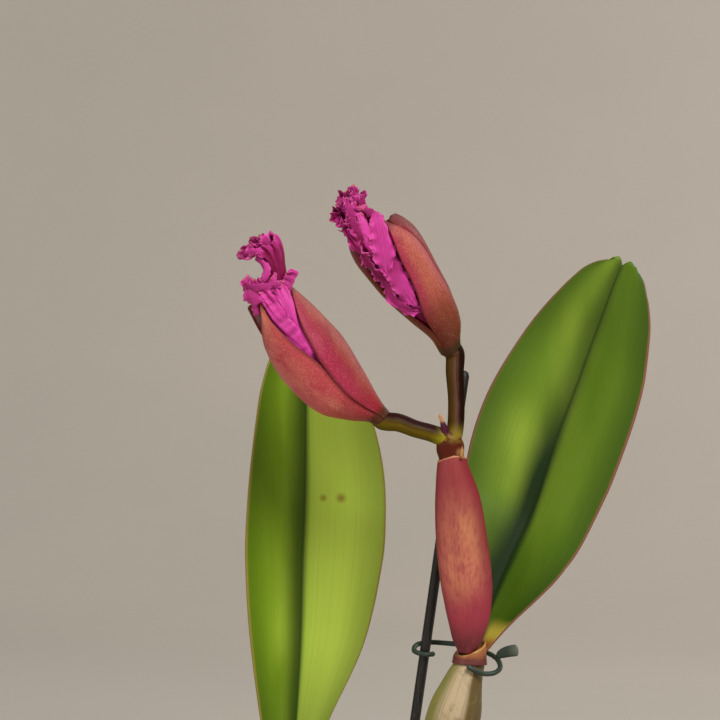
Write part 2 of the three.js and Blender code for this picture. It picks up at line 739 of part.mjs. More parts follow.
const LEFT_PETALS = [
  // the front petal, seen in the gap between the sepals, whose end bulges out to the left
  {
    rows: [
      [-1, -1.5, 6, -10, 2.5, 2.5, 40],
      [-2.6, -6, 16, -14, 5, 5, 42],
      [-2.8, -8.6, 28, -16, 6.5, 5, 42],
      [-2.2, -8.9, 39, -16, 5.4, 4.2, 36],
      [-0.8, -8.1, 47, -18, 3.8, 4, 36],
      [0, -7.2, 52, -22, 4.2, 4.2, 50],
      [0.6, -6.4, 57, -26, 5.4, 4.6, 60],
      [1, -5.2, 61, -34, 4.4, 4, 70],
    ],
    wave: 0.8,
    ripples: 2.5,
    phase: 1,
    frill: 0.8,
    grid: [6, 10],
  },
  // the right petal, deeper in
  {
    rows: [
      [-0.5, -0.5, 6, 60, 2.5, 2.5, 45],
      [-0.4, -3.2, 18, 55, 5.5, 5.5, 55],
      [4, -4.4, 30, 50, 7, 7, 55],
      [5, -4.6, 42, 46, 6.6, 6.6, 50],
      [6, -4, 49, 40, 4.6, 4.6, 40],
      [6.4, -3.4, 54, 36, 3, 3, 30],
    ],
    wave: 0.8,
    ripples: 2,
    phase: 2.4,
    grid: [4, 7],
  },
  // the petal at the back, whose end spills out behind the right sepal's tip
  {
    rows: [
      [0, 1, 7, 150, 2.4, 2.4, 45],
      [1.4, 4.4, 18, 145, 5.5, 5.5, 60],
      [3.6, 5.4, 30, 140, 7, 7, 62],
      [6, 4.6, 39, 130, 5.4, 5.4, 50],
      [9.4, 2.8, 45, 80, 3.6, 3.6, 20],
      [11, 1.8, 49, 40, 2.8, 2.8, -15],
      [11, 1, 53, 10, 3, 3, -25],
      [9.4, 0.2, 56.4, -5, 2.4, 2.4, -25],
    ],
    wave: 0.6,
    ripples: 2.5,
    phase: 0.4,
    frill: 0.5,
  },
  // the tall scroll that stands out of the tip and hooks over to the left
  {
    rows: [
      [1, -1.6, 32, 0, 4, 4, 105],
      [2.6, -2, 42, 0, 5, 5, 110],
      [5.6, -3, 51, 5, 5.2, 5.2, 115],
      [9, -3.6, 56, 8, 5.4, 5.6, 115],
      [12.2, -3.8, 59.6, 8, 5.6, 6, 105],
      [13.9, -3.8, 63.2, 5, 6, 6.6, 95],
      [13.2, -4, 66.2, 0, 5.6, 6, 85],
      [10.6, -4.6, 68, -5, 5, 4.8, 70],
      [7.4, -5.2, 68, -8, 4.2, 3.6, 50],
    ],
    wave: 0.6,
    ripples: 3.5,
    phase: 0.8,
    frill: 0.9,
    grid: [8, 12],
  },
  // the small tongue on the scroll's left edge
  {
    rows: [
      [3, -5.4, 53, -10, 1.6, 1.6, 30],
      [4.8, -6.2, 57.4, -15, 1.6, 1.6, 45],
      [7.2, -6.6, 60, -20, 1.6, 1.6, 50],
      [8.4, -6, 64, -30, 1.4, 1.4, 40],
    ],
    wave: 0,
    ripples: 1,
    phase: 0,
    grid: [4, 5],
  },
];

const RIGHT_PETALS = [
  // the satin lobe in front, which comes out from under the front sepal
  {
    rows: [
      [4.4, -6, 25, 25, 2.4, 2.4, 30],
      [4.6, -7, 32, 25, 3, 3, 30],
      [3.4, -8.6, 37, 15, 6, 3, 30],
      [2.4, -9.3, 41, 8, 6.6, 3.4, 32],
      [2.2, -9.4, 46, 6, 6.6, 3.6, 32],
      [2.4, -8.4, 51, 6, 6, 3, 34],
      [2.4, -7.2, 56.4, 6, 3.2, 2.6, 36],
    ],
    wave: 0.6,
    ripples: 3,
    phase: 0.5,
    grid: [6, 9],
  },
  // the lobe under it, lower down
  {
    rows: [
      [0.4, -1.5, 6, 0, 2, 2, 30],
      [3, -5, 15, 20, 2.4, 2.4, 30],
      [2.4, -6.8, 21, 10, 3, 3, 26],
      [-0.4, -8, 25, -8, 3.6, 4, 26],
      [-1.4, -8.6, 31, -12, 4.2, 4.4, 26],
      [-1.8, -8.6, 36, -12, 4.2, 4.6, 28],
      [-1, -8, 41, -10, 3, 3.6, 30],
    ],
    wave: 0.6,
    ripples: 2.5,
    phase: 2,
    grid: [5, 8],
  },
  // the left petal, ruffled all along the left sepal's edge
  {
    rows: [
      [0, -0.6, 7, -60, 2, 2, 40],
      [-2.6, -4.8, 16, -50, 3, 3, 30],
      [-6.6, -6.8, 22.5, -45, 3.2, 3, 20],
      [-8.5, -6.8, 27, -50, 3.2, 3, 10],
      [-7.4, -7.2, 33, -45, 2.8, 3.2, 0],
      [-7, -7.8, 40, -45, 2.6, 3.4, -10],
      [-6.6, -7.6, 47, -45, 2.4, 3.4, -12],
      [-6.4, -6.4, 53, -40, 2.6, 3.2, -10],
      [-7, -4.8, 58.5, -30, 2, 2.4, -5],
    ],
    wave: 1.4,
    ripples: 4,
    phase: 0.2,
    grid: [6, 13],
  },
  // the petal at the back
  {
    rows: [
      [0, 1, 7, 170, 2.2, 2.2, 45],
      [1.6, 4.6, 18, 170, 5.4, 5.4, 60],
      [1.4, 6.6, 30, 172, 7.4, 7.4, 62],
      [0.6, 6.8, 42, 176, 7.6, 7.6, 62],
      [-0.6, 5.2, 52, 180, 5.6, 5.6, 60],
      [-2, 3.6, 59, 186, 4, 4, 50],
    ],
    wave: 1,
    ripples: 2.5,
    phase: 1.6,
    frill: 0.8,
    grid: [4, 7],
  },
  // the rolled lip, whose frilled mouth stands out of the tip
  {
    rows: [
      [0, 0, 8, 10, 2.4, 2.4, 100],
      [0.2, -1.2, 24, 0, 4, 4, 115],
      [-0.6, -2, 40, -8, 4.6, 4.6, 120],
      [-1.6, -2.6, 50, -12, 5, 5, 125],
      [-2.2, -3, 56.4, -14, 6, 6, 125],
      [-1.8, -3, 60.4, -14, 8.6, 8.8, 122],
      [-1.4, -2.8, 63.6, -12, 10.6, 11, 130],
      [-1.2, -2.6, 66.2, -12, 9.8, 10.6, 140],
    ],
    wave: 0.9,
    ripples: 3.5,
    phase: 0,
    frill: 1,
    folds: 1.4,
    grid: [12, 9],
  },
  // the lip's inner fold, which fills its mouth
  {
    rows: [
      [-1.8, -2, 52, 40, 3, 3, 60],
      [-2.4, -2.6, 58, 40, 4, 4, 75],
      [-2.4, -3.4, 63, 35, 5.4, 5.4, 85],
      [-2, -4, 67.4, 30, 5.6, 5.6, 95],
    ],
    wave: 0.8,
    ripples: 1.5,
    phase: 3,
    frill: 0.8,
    folds: 1.2,
    grid: [8, 5],
  },
];

// The hidden column that the petals grow from, between the feet of the sepals.
const COLUMN = { from: 1.2, to: 12, clear: 0.6 };

function column(body) {
  const heights = [0, 0.25, 0.5, 0.75, 1].map((t) => lerp(COLUMN.from, COLUMN.to, t));
  const rows = heights.map((z, k) => {
    const [shift, radius] = along(body, z);
    const r = Math.min(radius - SEPAL - COLUMN.clear, 4) * (k === 4 ? 0.7 : 1);
    return [k / 4, shift, 0, z, r, r];
  });
  return rod(rows, 8, 4);
}

function bud(side, place, body, sepals, petals) {
  const group = new THREE.Group();
  group.applyMatrix4(budMatrix(place));
  for (const [name, rows] of Object.entries(sepals))
    add(`${side}_bud_sepal_${name}`, sepal(body, rows), SEPAL_ROSE, group);
  const room = Object.values(sepals).map((rows) => solidOf(sepal(body, rows, GAP)));
  const bunch = join([column(body), ...petals.map(petal)]);
  add(`${side}_bud_petals`, largest(cut(bunch, room)), PETAL_MAGENTA, group);
  orchid.add(group);
}

bud("left", LEFT_BUD, LEFT_BODY, LEFT_SEPALS, LEFT_PETALS);
bud("right", RIGHT_BUD, RIGHT_BODY, RIGHT_SEPALS, RIGHT_PETALS);

// ---- Tie: a soft green strap hooked round the stake, passed behind the bulb's neck and
// looped back over its front, with a flat tab on the loop ----

const TIE_ROUTE = [
  [17.2, 7.6, 192.3],
  [13.8, 6.4, 192.2],
  [10.3, 8.6, 193.2],
  [11.2, 12.2, 194.9],
  [15, 13.6, 195.6],
  [20.6, 11, 195.6],
  [25, 9, 195.3],
  [30, 8.4, 194.2],
  [34, 6.4, 193],
  [36.6, 3.2, 192],
  [38.2, 0.4, 190.6],
  [38.6, -2, 188.6],
  [36.7, -4.4, 187.2],
  [33, -5.6, 187],
  [29.6, -7, 188.4],
  [27.4, -7, 189.8],
];
// Rows: x, y, z, half-width and half-thickness.
const TAB_ROUTE = [
  [37.8, 1, 191.4, 0.7, 0.5],
  [39, 0.8, 192.8, 1.5, 0.55],
  [41.4, 0.2, 193.8, 1.9, 0.55],
  [44.8, -0.8, 194.4, 2, 0.55],
];

function tie() {
  const strand = TIE_ROUTE.map((p) => [...p, TIE_STRAND, TIE_STRAND]);
  return join([rod(measured(strand), 6, 28), rod(measured(TAB_ROUTE), 8, 5)]);
}

add("plant_tie", tie(), TIE_GREEN);

export default orchid;
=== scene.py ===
import math

import bpy
import mathutils
import numpy as np
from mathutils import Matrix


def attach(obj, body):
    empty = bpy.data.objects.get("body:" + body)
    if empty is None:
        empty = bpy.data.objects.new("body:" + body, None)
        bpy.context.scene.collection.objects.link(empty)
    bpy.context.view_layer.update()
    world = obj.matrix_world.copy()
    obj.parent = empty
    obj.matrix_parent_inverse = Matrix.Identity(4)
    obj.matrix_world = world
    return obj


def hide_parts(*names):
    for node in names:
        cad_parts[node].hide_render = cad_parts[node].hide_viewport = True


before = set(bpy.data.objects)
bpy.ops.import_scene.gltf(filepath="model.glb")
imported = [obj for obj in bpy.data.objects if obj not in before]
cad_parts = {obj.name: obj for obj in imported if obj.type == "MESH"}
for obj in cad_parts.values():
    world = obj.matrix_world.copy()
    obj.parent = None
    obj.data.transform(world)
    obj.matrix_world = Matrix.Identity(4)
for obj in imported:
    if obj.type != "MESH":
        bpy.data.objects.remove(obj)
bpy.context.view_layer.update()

# ---- The studio ----
# A seamless dish of warm pale grey paper, soft lamps and a camera that looks level at the buds.
# The dish is flat for two metres round the pot and then curves up, so it has no edge in view.

MM = 0.001  # a millimetre in metres: sizes and places are in millimetres up to the mesh


class Sum:
    """One output of a material's node. Sums written with it become Math nodes."""

    def __init__(self, recipe, socket):
        self.recipe, self.socket = recipe, socket

    def math(self, operation, *values):
        sockets = dict(enumerate(values))
        return self.recipe.node("Math", {"operation": operation}, sockets)["Value"]

    def __add__(self, other):
        return self.math("ADD", self, other)

    def __sub__(self, other):
        return self.math("SUBTRACT", self, other)

    def __rsub__(self, other):
        return self.math("SUBTRACT", other, self)

    def __mul__(self, other):
        return self.math("MULTIPLY", self, other)

    def __abs__(self):
        return self.math("ABSOLUTE", self)

    __radd__ = __add__
    __rmul__ = __mul__

    def rising(self, low, high):
        """0 up to low, 1 from high, and soft between. With low above high it falls instead."""
        ends = {"From Min": low, "From Max": high}
        if low > high:
            ends = {"From Min": high, "From Max": low, "To Min": 1.0, "To Max": 0.0}
        settings = {"interpolation_type": "SMOOTHSTEP"}
        return self.recipe.node("MapRange", settings, {"Value": self, **ends})["Result"]


class Node:
    """A node of a material, whose outputs are taken by name or number."""

    def __init__(self, recipe, made):
        self.recipe, self.made = recipe, made

    def __getitem__(self, name):
        return Sum(self.recipe, self.made.outputs[name])


class Recipe:
    """A material, put together node by node."""

    def __init__(self, name):
        self.material = bpy.data.materials.new(name)
        self.material.use_nodes = True
        self.tree = self.material.node_tree
        self.tree.nodes.clear()

    def node(self, kind, settings=None, sockets=None):
        made = self.tree.nodes.new("ShaderNode" + kind)
        for name, value in (settings or {}).items():
            setattr(made, name, value)
        for name, value in (sockets or {}).items():
            if isinstance(value, Sum):
                self.tree.links.new(value.socket, made.inputs[name])
            else:
                made.inputs[name].default_value = value
        return Node(self, made)

    def place(self, stretch=(1, 1, 1)):
        """Where a point is, in metres, stretched along each axis."""
        spot = self.node("TexCoord")["Object"]
        return self.node("Mapping", {}, {"Vector": spot, "Scale": stretch})["Vector"]

    def near(self, spot, radius):
        """1 at a spot in millimetres and 0 from a radius away."""
        ends = {0: self.place(), 1: [c * MM for c in spot]}
        away = self.node("VectorMath", {"operation": "DISTANCE"}, ends)["Value"]
        return away.rising(radius * MM, 0.0)

    def lay(self, name="lay"):
        """A point's place in its sheet: across it and along it, both from 0 to 1."""
        spot = self.node("UVMap", {"uv_map": name})["UV"]
        both = self.node("SeparateXYZ", {}, {"Vector": spot})
        return both["X"], both["Y"]

    def grain(self, across, along):
        """The same place stretched, for marks that run the length of a sheet."""
        spot = self.node("UVMap", {"uv_map": "lay"})["UV"]
        return self.node("Mapping", {}, {"Vector": spot, "Scale": (across, along, 1)})["Vector"]

    def noise(self, spot, scale=1.0, detail=3.0, rough=0.55, warp=0.0):
        sockets = {"Vector": spot, "Scale": scale, "Detail": detail, "Roughness": rough}
        return self.node("TexNoise", {}, {**sockets, "Distortion": warp})["Fac"]

    def cells(self, spot, scale=1.0):
        return self.node("TexVoronoi", {}, {"Vector": spot, "Scale": scale})["Distance"]

    def layered(self, colour, *layers):
        """A colour with others laid over it in turn, each with its share."""
        settings = {"data_type": "RGBA", "clamp_factor": True}
        for over, share in layers:
            colour = self.node("Mix", settings, {0: share, 6: colour, 7: over})[2]
        return colour

    def finish(self, colour, roughness, height, depth, strength, **fixed):
        """Ends the material in one skin. `height` raises it by up to `depth` metres."""
        raised = {"Height": height, "Distance": depth, "Strength": strength}
        sockets = {"Base Color": colour, "Roughness": roughness}
        sockets["Normal"] = self.node("Bump", {}, raised)["Normal"]
        for name, value in fixed.items():
            sockets[name.replace("_", " ")] = value
        skin = self.node("BsdfPrincipled", {}, sockets)["BSDF"]
        self.node("OutputMaterial", {}, {"Surface": skin})
        return self.material


def tint(red, green, blue):
    """A colour as seen on a screen, 0 to 255, as the linear colour that a node takes."""
    return (*((c / 255) ** 2.2 for c in (red, green, blue)), 1)


def mesh_object(name, points, faces, lays=None):
    """A smooth mesh from points in millimetres. Each of `lays` holds a pair for each corner."""
    mesh = bpy.data.meshes.new(name)
    mesh.from_pydata((np.asarray(points, float) * MM).tolist(), [], faces)
    for title, corners in (lays or {}).items():
        layer = mesh.uv_layers.new(name=title)
        layer.uv.foreach_set("vector", np.asarray(corners, np.float32).ravel())
    mesh.polygons.foreach_set("use_smooth", [True] * len(mesh.polygons))
    mesh.update()
    made = bpy.data.objects.new(name, mesh)
    bpy.context.scene.collection.objects.link(made)
    return made


DISH = {"rings": (600, 1400), "flat": 2200, "bend": 1400, "bends": 15, "top": 2600, "sides": 96}


def dish():
    profile = [(out, 0) for out in DISH["rings"]]
    for k in range(DISH["bends"] + 1):
        angle = math.pi / 2 * k / DISH["bends"]
        out = DISH["flat"] + DISH["bend"] * math.sin(angle)
        profile.append((out, DISH["bend"] * (1 - math.cos(angle))))
    profile.append((DISH["flat"] + DISH["bend"], DISH["top"]))
    points, faces, sides = [(0, 0, 0)], [], DISH["sides"]
    for k, (out, up) in enumerate(profile):
        for j in range(sides):
            turn = 2 * math.pi * j / sides
            points.append((out * math.cos(turn), out * math.sin(turn), up))
            here, there = 1 + k * sides + j, 1 + k * sides + (j + 1) % sides
            if k == 0:
                faces.append((0, here, there))
            if k + 1 < len(profile):
                faces.append((here, here + sides, there + sides, there))
    return mesh_object("studio_dish", points, faces)


def paper():
    r = Recipe("studio_paper")
    mottle = r.noise(r.place(), 1.6, 4)
    colour = r.layered(tint(196, 190, 182), (tint(210, 203, 194), mottle))
    return r.finish(colour, 0.9, r.noise(r.place(), 900), 0.0002, 0.2)


floor = dish()
floor.data.materials.append(paper())


def lamp(name, place, aim, size, watts, colour):
    light = bpy.data.lights.new(name, "AREA")
    light.shape, light.size, light.energy, light.color = "DISK", size, watts, colour
    made = bpy.data.objects.new(name, light)
    made.location = place
    away = mathutils.Vector(aim) - mathutils.Vector(place)
    made.rotation_euler = away.to_track_quat("-Z", "Y").to_euler()
    made.visible_camera = False
    bpy.context.scene.collection.objects.link(made)


PLANT = (0.02, 0.0, 0.27)
lamp("key_lamp", (0.5, -1.4, 1.45), PLANT, 0.8, 28, (1, 0.975, 0.94))
lamp("fill_lamp", (-1.4, -1.0, 0.7), PLANT, 1.1, 5, (1, 0.97, 0.94))
lamp("rim_lamp", (1.1, 0.5, 0.9), PLANT, 0.5, 4, (1, 0.97, 0.92))
lamp("paper_lamp", (1.5, 1.5, 2.2), (0.35, 3.2, 0.75), 1.0, 22, (1, 0.95, 0.88))

world = bpy.data.worlds.new("studio_air")
bpy.context.scene.world = world
world.use_nodes = True
air = world.node_tree.nodes["Background"]
air.inputs["Color"].default_value = (1, 0.98, 0.955, 1)
air.inputs["Strength"].default_value = 0.36

camera = bpy.data.objects.new("camera", bpy.data.cameras.new("camera"))
bpy.context.scene.collection.objects.link(camera)
camera.location = (-0.008, -1.0, 0.291)
camera.rotation_euler = (math.radians(90), 0, 0)
camera.data.lens = 150
camera.data.sensor_width = 36
camera.data.clip_end = 20
bpy.context.scene.camera = camera
bpy.context.scene.view_settings.view_transform = "Standard"

# ---- Pot ----
# A thrown terracotta pot with a thicker rim band and four drain holes round a solid middle.
# The clay is matte, with faint turning lines, pale lime bloom and darker damp patches.

POT = {"base": 44, "neck": 56, "rim": 61.5, "height": 100, "band": 20, "wall": 4, "floor": 5}
DRAIN = {"count": 4, "radius": 5, "ring": 24, "sides": 32}


def inner_radius(z):
    slope = (POT["neck"] - POT["base"]) / (POT["height"] - POT["band"])
    return POT["base"] + slope * z - POT["wall"]


def eased(profile, step):
    """A profile with a point about every `step` millimetres and slightly eased corners."""
    dense = [profile[0]]
    for (r0, z0), (r1, z1) in zip(profile, profile[1:]):
        pieces = max(1, int(math.hypot(r1 - r0, z1 - z0) / step))
        shares = [k / pieces for k in range(1, pieces + 1)]
        dense += [(r0 + (r1 - r0) * s, z0 + (z1 - z0) * s) for s in shares]
    dense = np.array(dense)
    for _ in range(2):
        dense[1:-1] = dense[1:-1] / 2 + (dense[:-2] + dense[2:]) / 4
    return dense


def revolved(name, profile, sides, shape=lambda turn, out, up: out):
    """A body turned about the pot's axis from a profile that starts and ends on that axis."""
    points, inside = [(0, 0, profile[0][1])], profile[1:-1]
    for out, up in inside:
        for j in range(sides):
            turn = 2 * math.pi * j / sides
            reach = shape(turn, out, up)
            points.append((reach * math.cos(turn), reach * math.sin(turn), up))
    points.append((0, 0, profile[-1][1]))
    last, end = len(points) - 1, 1 + (len(inside) - 1) * sides
    faces, corners = [], []
    for j in range(sides):
        n, left, right = (j + 1) % sides, j / sides, (j + 1) / sides
        faces.append((0, 1 + n, 1 + j))
        corners += [(left, 0), (right, 0), (left, 0)]
        for k in range(len(inside) - 1):
            a, b = 1 + k * sides, 1 + (k + 1) * sides
            low, high = k / len(inside), (k + 1) / len(inside)
            faces.append((a + j, a + n, b + n, b + j))
            corners += [(left, low), (right, low), (right, high), (left, high)]
        faces.append((end + j, end + n, last))
        corners += [(left, 1), (right, 1), (left, 1)]
    return mesh_object(name, points, faces, {"lay": corners})


def thrown(turn, out, up):
    """The slight waves that a thrower's fingers leave, on a body that is not quite round."""
    ring = 0.12 * math.sin(1.35 * up) + 0.08 * math.sin(2.3 * up + 0.6 * math.sin(turn))
    oval = 0.12 * math.sin(2 * turn) * up / POT["height"]
    calmer_inside = min(out / 40, 1)
    return out + (ring - 0.15) * calmer_inside + oval


def drill(k):
    """A cylinder that cuts the kth drain hole."""
    turn = 2 * math.pi * (k + 0.5) / DRAIN["count"]
    x, y = DRAIN["ring"] * math.cos(turn), DRAIN["ring"] * math.sin(turn)
    sides, r = DRAIN["sides"], DRAIN["radius"]
    angles = [2 * math.pi * j / sides for j in range(sides)]
    ends = (-2 * POT["floor"], 4 * POT["floor"])
    points = [(x + r * math.cos(a), y + r * math.sin(a), z) for z in ends for a in angles]
    wall = [(j, (j + 1) % sides, sides + (j + 1) % sides, sides + j) for j in range(sides)]
    caps = [tuple(range(sides - 1, -1, -1)), tuple(range(sides, 2 * sides))]
    return mesh_object("drill", points, caps + wall)


def pot():
    base, neck, lip = POT["base"], POT["neck"], POT["rim"]
    floor, top, band = POT["floor"], POT["height"], POT["height"] - POT["band"]
    profile = [
        (0, 0), (base - 1.5, 0), (base, 1.5), (neck, band - 1.5),
        (lip - 2, band), (lip - 1, band + 2), (lip, top - 2), (lip - 1.5, top), (lip - 3.5, top),
        (inner_radius(top), top - 2.5), (inner_radius(floor + 2), floor + 2),
        (inner_radius(floor) - 2, floor), (0, floor),
    ]
    made = revolved("clay_pot", eased(profile, 1.5), 128, thrown)
    for k in range(DRAIN["count"]):
        tool = drill(k)
        hole = made.modifiers.new("hole", "BOOLEAN")
        hole.object, hole.solver = tool, "EXACT"
        seen = made.evaluated_get(bpy.context.evaluated_depsgraph_get())
        holed = bpy.data.meshes.new_from_object(seen)
        made.modifiers.clear()
        made.data = holed
        bpy.data.objects.remove(tool)
    return made


def fired_clay():
    r = Recipe("fired_clay")
    spot = r.place()
    patches = r.noise(spot, 26, 5, 0.6, 0.6)
    speck = r.noise(spot, 700, 2)
    bloom = r.noise(spot, 60, 6, 0.7, 1.2).rising(0.56, 0.72)
    damp = r.node("SeparateXYZ", {}, {"Vector": spot})["Z"].rising(0.055, 0.01)
    colour = r.layered(
        tint(176, 108, 76),
        (tint(196, 128, 92), patches),
        (tint(150, 84, 58), speck.rising(0.58, 0.75) * 0.55),
        (tint(128, 72, 50), damp * 0.45),
        (tint(222, 205, 184), bloom * 0.5),
    )
    turning = r.noise(r.place((40, 40, 900)), 1, 2)
    return r.finish(colour, 0.86 - bloom * 0.05, turning * 0.5 + speck * 0.5, 0.0006, 0.5)


def piece(made, material, slot, *nodes):
    """Gives a finished mesh its material and its place on the plant, and hides the solids it
    replaces.
    """
    made.data.materials.clear()
    made.data.materials.append(material)
    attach(made, "root")
    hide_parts(*nodes)
    return made


piece(pot(), fired_clay(), "clay", "pot")

# ---- Rhizome and roots ----
# The creeping stem that joins the pseudobulbs lies on the bark, ringed with old leaf scars.
# Its roots are silvery with a spongy skin and dive into the bark, greener towards their ends.

# x, y, z, half-width and half-depth
RHIZOME = [
    [-27, 34, 87.5, 3.2, 3],
    [-21, 26, 89.5, 4.6, 4],
    [-11, 12, 89, 3.8, 3.6],
    [-3, 2, 88.5, 4, 3.8],
    [5, -8, 89, 5, 4.4],
    [9, -14, 88.5, 2.6, 2.6],
]
SCARS = {"count": 7, "depth": 0.12}
# where it leaves the rhizome, its heading in degrees and its length
ROOTS = [[0.93, -75, 32], [0.86, -30, 38], [0.8, 175, 30], [0.62, -2, 40], [0.45, -150, 36]]
# the share of a root's length, and how high it lies there
ROOT_STEPS = [(0, 0), (0.15, 3.2), (0.4, 3.4), (0.65, 2.6), (0.85, 1), (0.97, -7)]
# a root's radius, the share that it loses on its way, and how far it wanders, in degrees
ROOT = {"radius": 1.5, "taper": 0.25, "swing": 38}


def draw(n, kind):
    """A repeatable draw between 0 and 1 for the nth thing of a kind."""
    wild = math.sin(n * 12.9898 + kind * 78.233) * 43758.5453
    return wild - math.floor(wild)


def along(rows, t):
    """The values at t of a table whose rows start with t, on a smooth curve through each row."""
    rows = np.asarray(rows, float)
    x, y = rows[:, 0], rows[:, 1:]
    before = np.maximum(np.arange(len(x)) - 1, 0)
    after = np.minimum(np.arange(len(x)) + 1, len(x) - 1)
    slope = (y[after] - y[before]) / (x[after] - x[before])[:, None]
    t = np.asarray(t, float)
    k = np.clip(np.searchsorted(x, t, side="right") - 1, 0, len(x) - 2)
    span = (x[k + 1] - x[k])[..., None]
    s = np.clip((t - x[k])[..., None] / span, 0, 1)
    bend = span * (s * (1 - s) ** 2 * slope[k] - s * s * (1 - s) * slope[k + 1])
    return y[k] + (y[k + 1] - y[k]) * s * s * (3 - 2 * s) + bend


def measured(rows):
    """Rows of points with their share of the way along the line that they make put first."""
    rows = np.asarray(rows, float)
    steps = np.linalg.norm(np.diff(rows[:, :3], axis=0), axis=1)
    length = np.concatenate([[0], np.cumsum(steps)])
    return np.column_stack([length / length[-1], rows])


def unit(v):
    return v / np.maximum(np.linalg.norm(v, axis=-1, keepdims=True), 1e-9)


def spine(rows, t, turn=0.0):
    """Points of a line at t, its direction, the way its face looks and its right-hand side."""
    ahead = along(rows, np.minimum(t + 0.004, 1))[..., :3]
    behind = along(rows, np.maximum(t - 0.004, 0))[..., :3]
    go = unit(ahead - behind)
    turn = np.radians(turn) + np.zeros(np.shape(t))
    face = np.stack([np.sin(turn), -np.cos(turn), 0 * turn], -1)
    face = unit(face - (face * go).sum(-1, keepdims=True) * go)
    return along(rows, t)[..., :3], go, face, np.cross(go, face)


def gathered(count, share):
    """Shares from 0 to 1, closer together near both ends the larger `share` is."""
    t = np.linspace(0, 1, count + 1)
    return share * (0.5 - 0.5 * np.cos(np.pi * t)) + (1 - share) * t


def round_about(sides):
    """The angles of the points round a ring."""
    return 2 * np.pi * np.arange(sides) / sides


def hoops(rows, sides, count, shape=None, ends=0.0, grow=0.0):
    """Rings round a line of x, y, z, half-width and half-depth.

    `shape` gives each point's reach as a share, `ends` the share of the line over which each
    end is rounded off, and `grow` makes every ring wider.
    """
    t = gathered(count, 0.6 if ends else 0)
    middle, _, face, side = spine(rows, t)
    wide, deep = along(rows, t)[:, 3:5].T + grow
    angle = round_about(sides)
    close = np.ones_like(t)
    if ends:
        close = np.sqrt(1 - np.clip(1 - np.minimum(t, 1 - t) / ends, 0, 1) ** 2)
        close = np.maximum(close, 0.03)
    share = np.ones((len(t), sides)) if shape is None else shape(angle[None, :], t[:, None])
    out = (wide * close)[:, None] * share * np.sin(angle)
    front = (deep * close)[:, None] * share * np.cos(angle)
    return middle[:, None] + side[:, None] * out[..., None] + face[:, None] * front[..., None]


def tube(name, points, ring=False):
    """A closed body over rings of points, capped, or with its last ring joined to its first."""
    count, sides = points.shape[:2]
    flat = points.reshape(-1, 3)
    i, j = np.meshgrid(np.arange(count if ring else count - 1), np.arange(sides), indexing="ij")
    n, up = (j + 1) % sides, (i + 1) % count
    faces = np.stack([i * sides + j, i * sides + n, up * sides + n, up * sides + j], -1)
    left, right, low, high = j / sides, (j + 1) / sides, i / (count - 1), (i + 1) / (count - 1)
    corners = np.stack([left, low, right, low, right, high, left, high], -1).reshape(-1, 2)
    faces = [tuple(f) for f in faces.reshape(-1, 4).tolist()]
    corners = corners.tolist()
    if not ring:
        flat = np.vstack([flat, points[0].mean(0), points[-1].mean(0)])
        end = (count - 1) * sides
        for j in range(sides):
            n = (j + 1) % sides
            faces += [(end + sides, n, j), (end + sides + 1, end + j, end + n)]
            corners += [(j / sides, 0)] * 3 + [(j / sides, 1)] * 3
    return mesh_object(name, flat, faces, {"lay": corners})


def joined(name, parts):
    """Several meshes made into one."""
    points, faces, lays, start = [], [], {}, 0
    for made in parts:
        mesh = made.data
        spots = np.empty(len(mesh.vertices) * 3)
        mesh.vertices.foreach_get("co", spots)
        points.append(spots.reshape(-1, 3) / MM)
        faces += [tuple(start + v for v in p.vertices) for p in mesh.polygons]
        for layer in mesh.uv_layers:
            found = np.empty(len(mesh.loops) * 2, np.float32)
            layer.uv.foreach_get("vector", found)
            lays.setdefault(layer.name, []).append(found.reshape(-1, 2))
        start += len(mesh.vertices)
        bpy.data.objects.remove(made)
    lays = {title: np.vstack(found) for title, found in lays.items()}
    return mesh_object(name, np.vstack(points), faces, lays)


def root(n, start, heading, length):
    x, y, z = along(measured(RHIZOME), start)[:3]
    line = []
    for out, height in ROOT_STEPS:
        swing = ROOT["swing"] * (draw(n, 3) - 0.5) * math.sin(4 * out)
        turn = math.radians(heading + swing)
        r = ROOT["radius"] * (1 - ROOT["taper"] * out)
        reach = length * out
        line.append([x + reach * math.cos(turn), y + reach * math.sin(turn), z + height, r, r])

    def spongy(angle, t):
        return 1 + 0.05 * np.sin(3 * angle + 31 * t + n) + 0.04 * np.sin(47 * t + 2 * angle)

    return tube("root", hoops(measured(line), 20, 70, spongy, 0.05))


def rhizome():
    def scars(angle, t):
        ring = np.cos(2 * np.pi * SCARS["count"] * t + 0.25 * np.sin(angle)) ** 8
        knobs = 0.03 * np.sin(5 * angle + 20 * t) + 0.02 * np.sin(11 * angle - 40 * t)
        return 1 - SCARS["depth"] * ring + knobs

    bodies = [tube("rhizome", hoops(measured(RHIZOME), 40, 110, scars, 0.05))]
    bodies += [root(n, *values) for n, values in enumerate(ROOTS)]
    return joined("rhizome_and_root_mass", bodies)


def root_skin():
    r = Recipe("root_skin")
    _, length = r.lay()
    blotch = r.noise(r.place(), 220, 4, 0.6, 0.4)
    fine = r.noise(r.place(), 1800, 3)
    colour = r.layered(
        tint(176, 170, 148),
        (tint(206, 202, 186), blotch),
        (tint(120, 108, 78), blotch.rising(0.42, 0.3) * 0.7),
        (tint(122, 136, 74), length.rising(0.72, 0.9) * 0.6),
    )
    return r.finish(colour, 0.78, fine * 0.6 + blotch * 0.4, 0.0005, 0.7)


piece(rhizome(), root_skin(), "roots", "rhizome_and_roots")
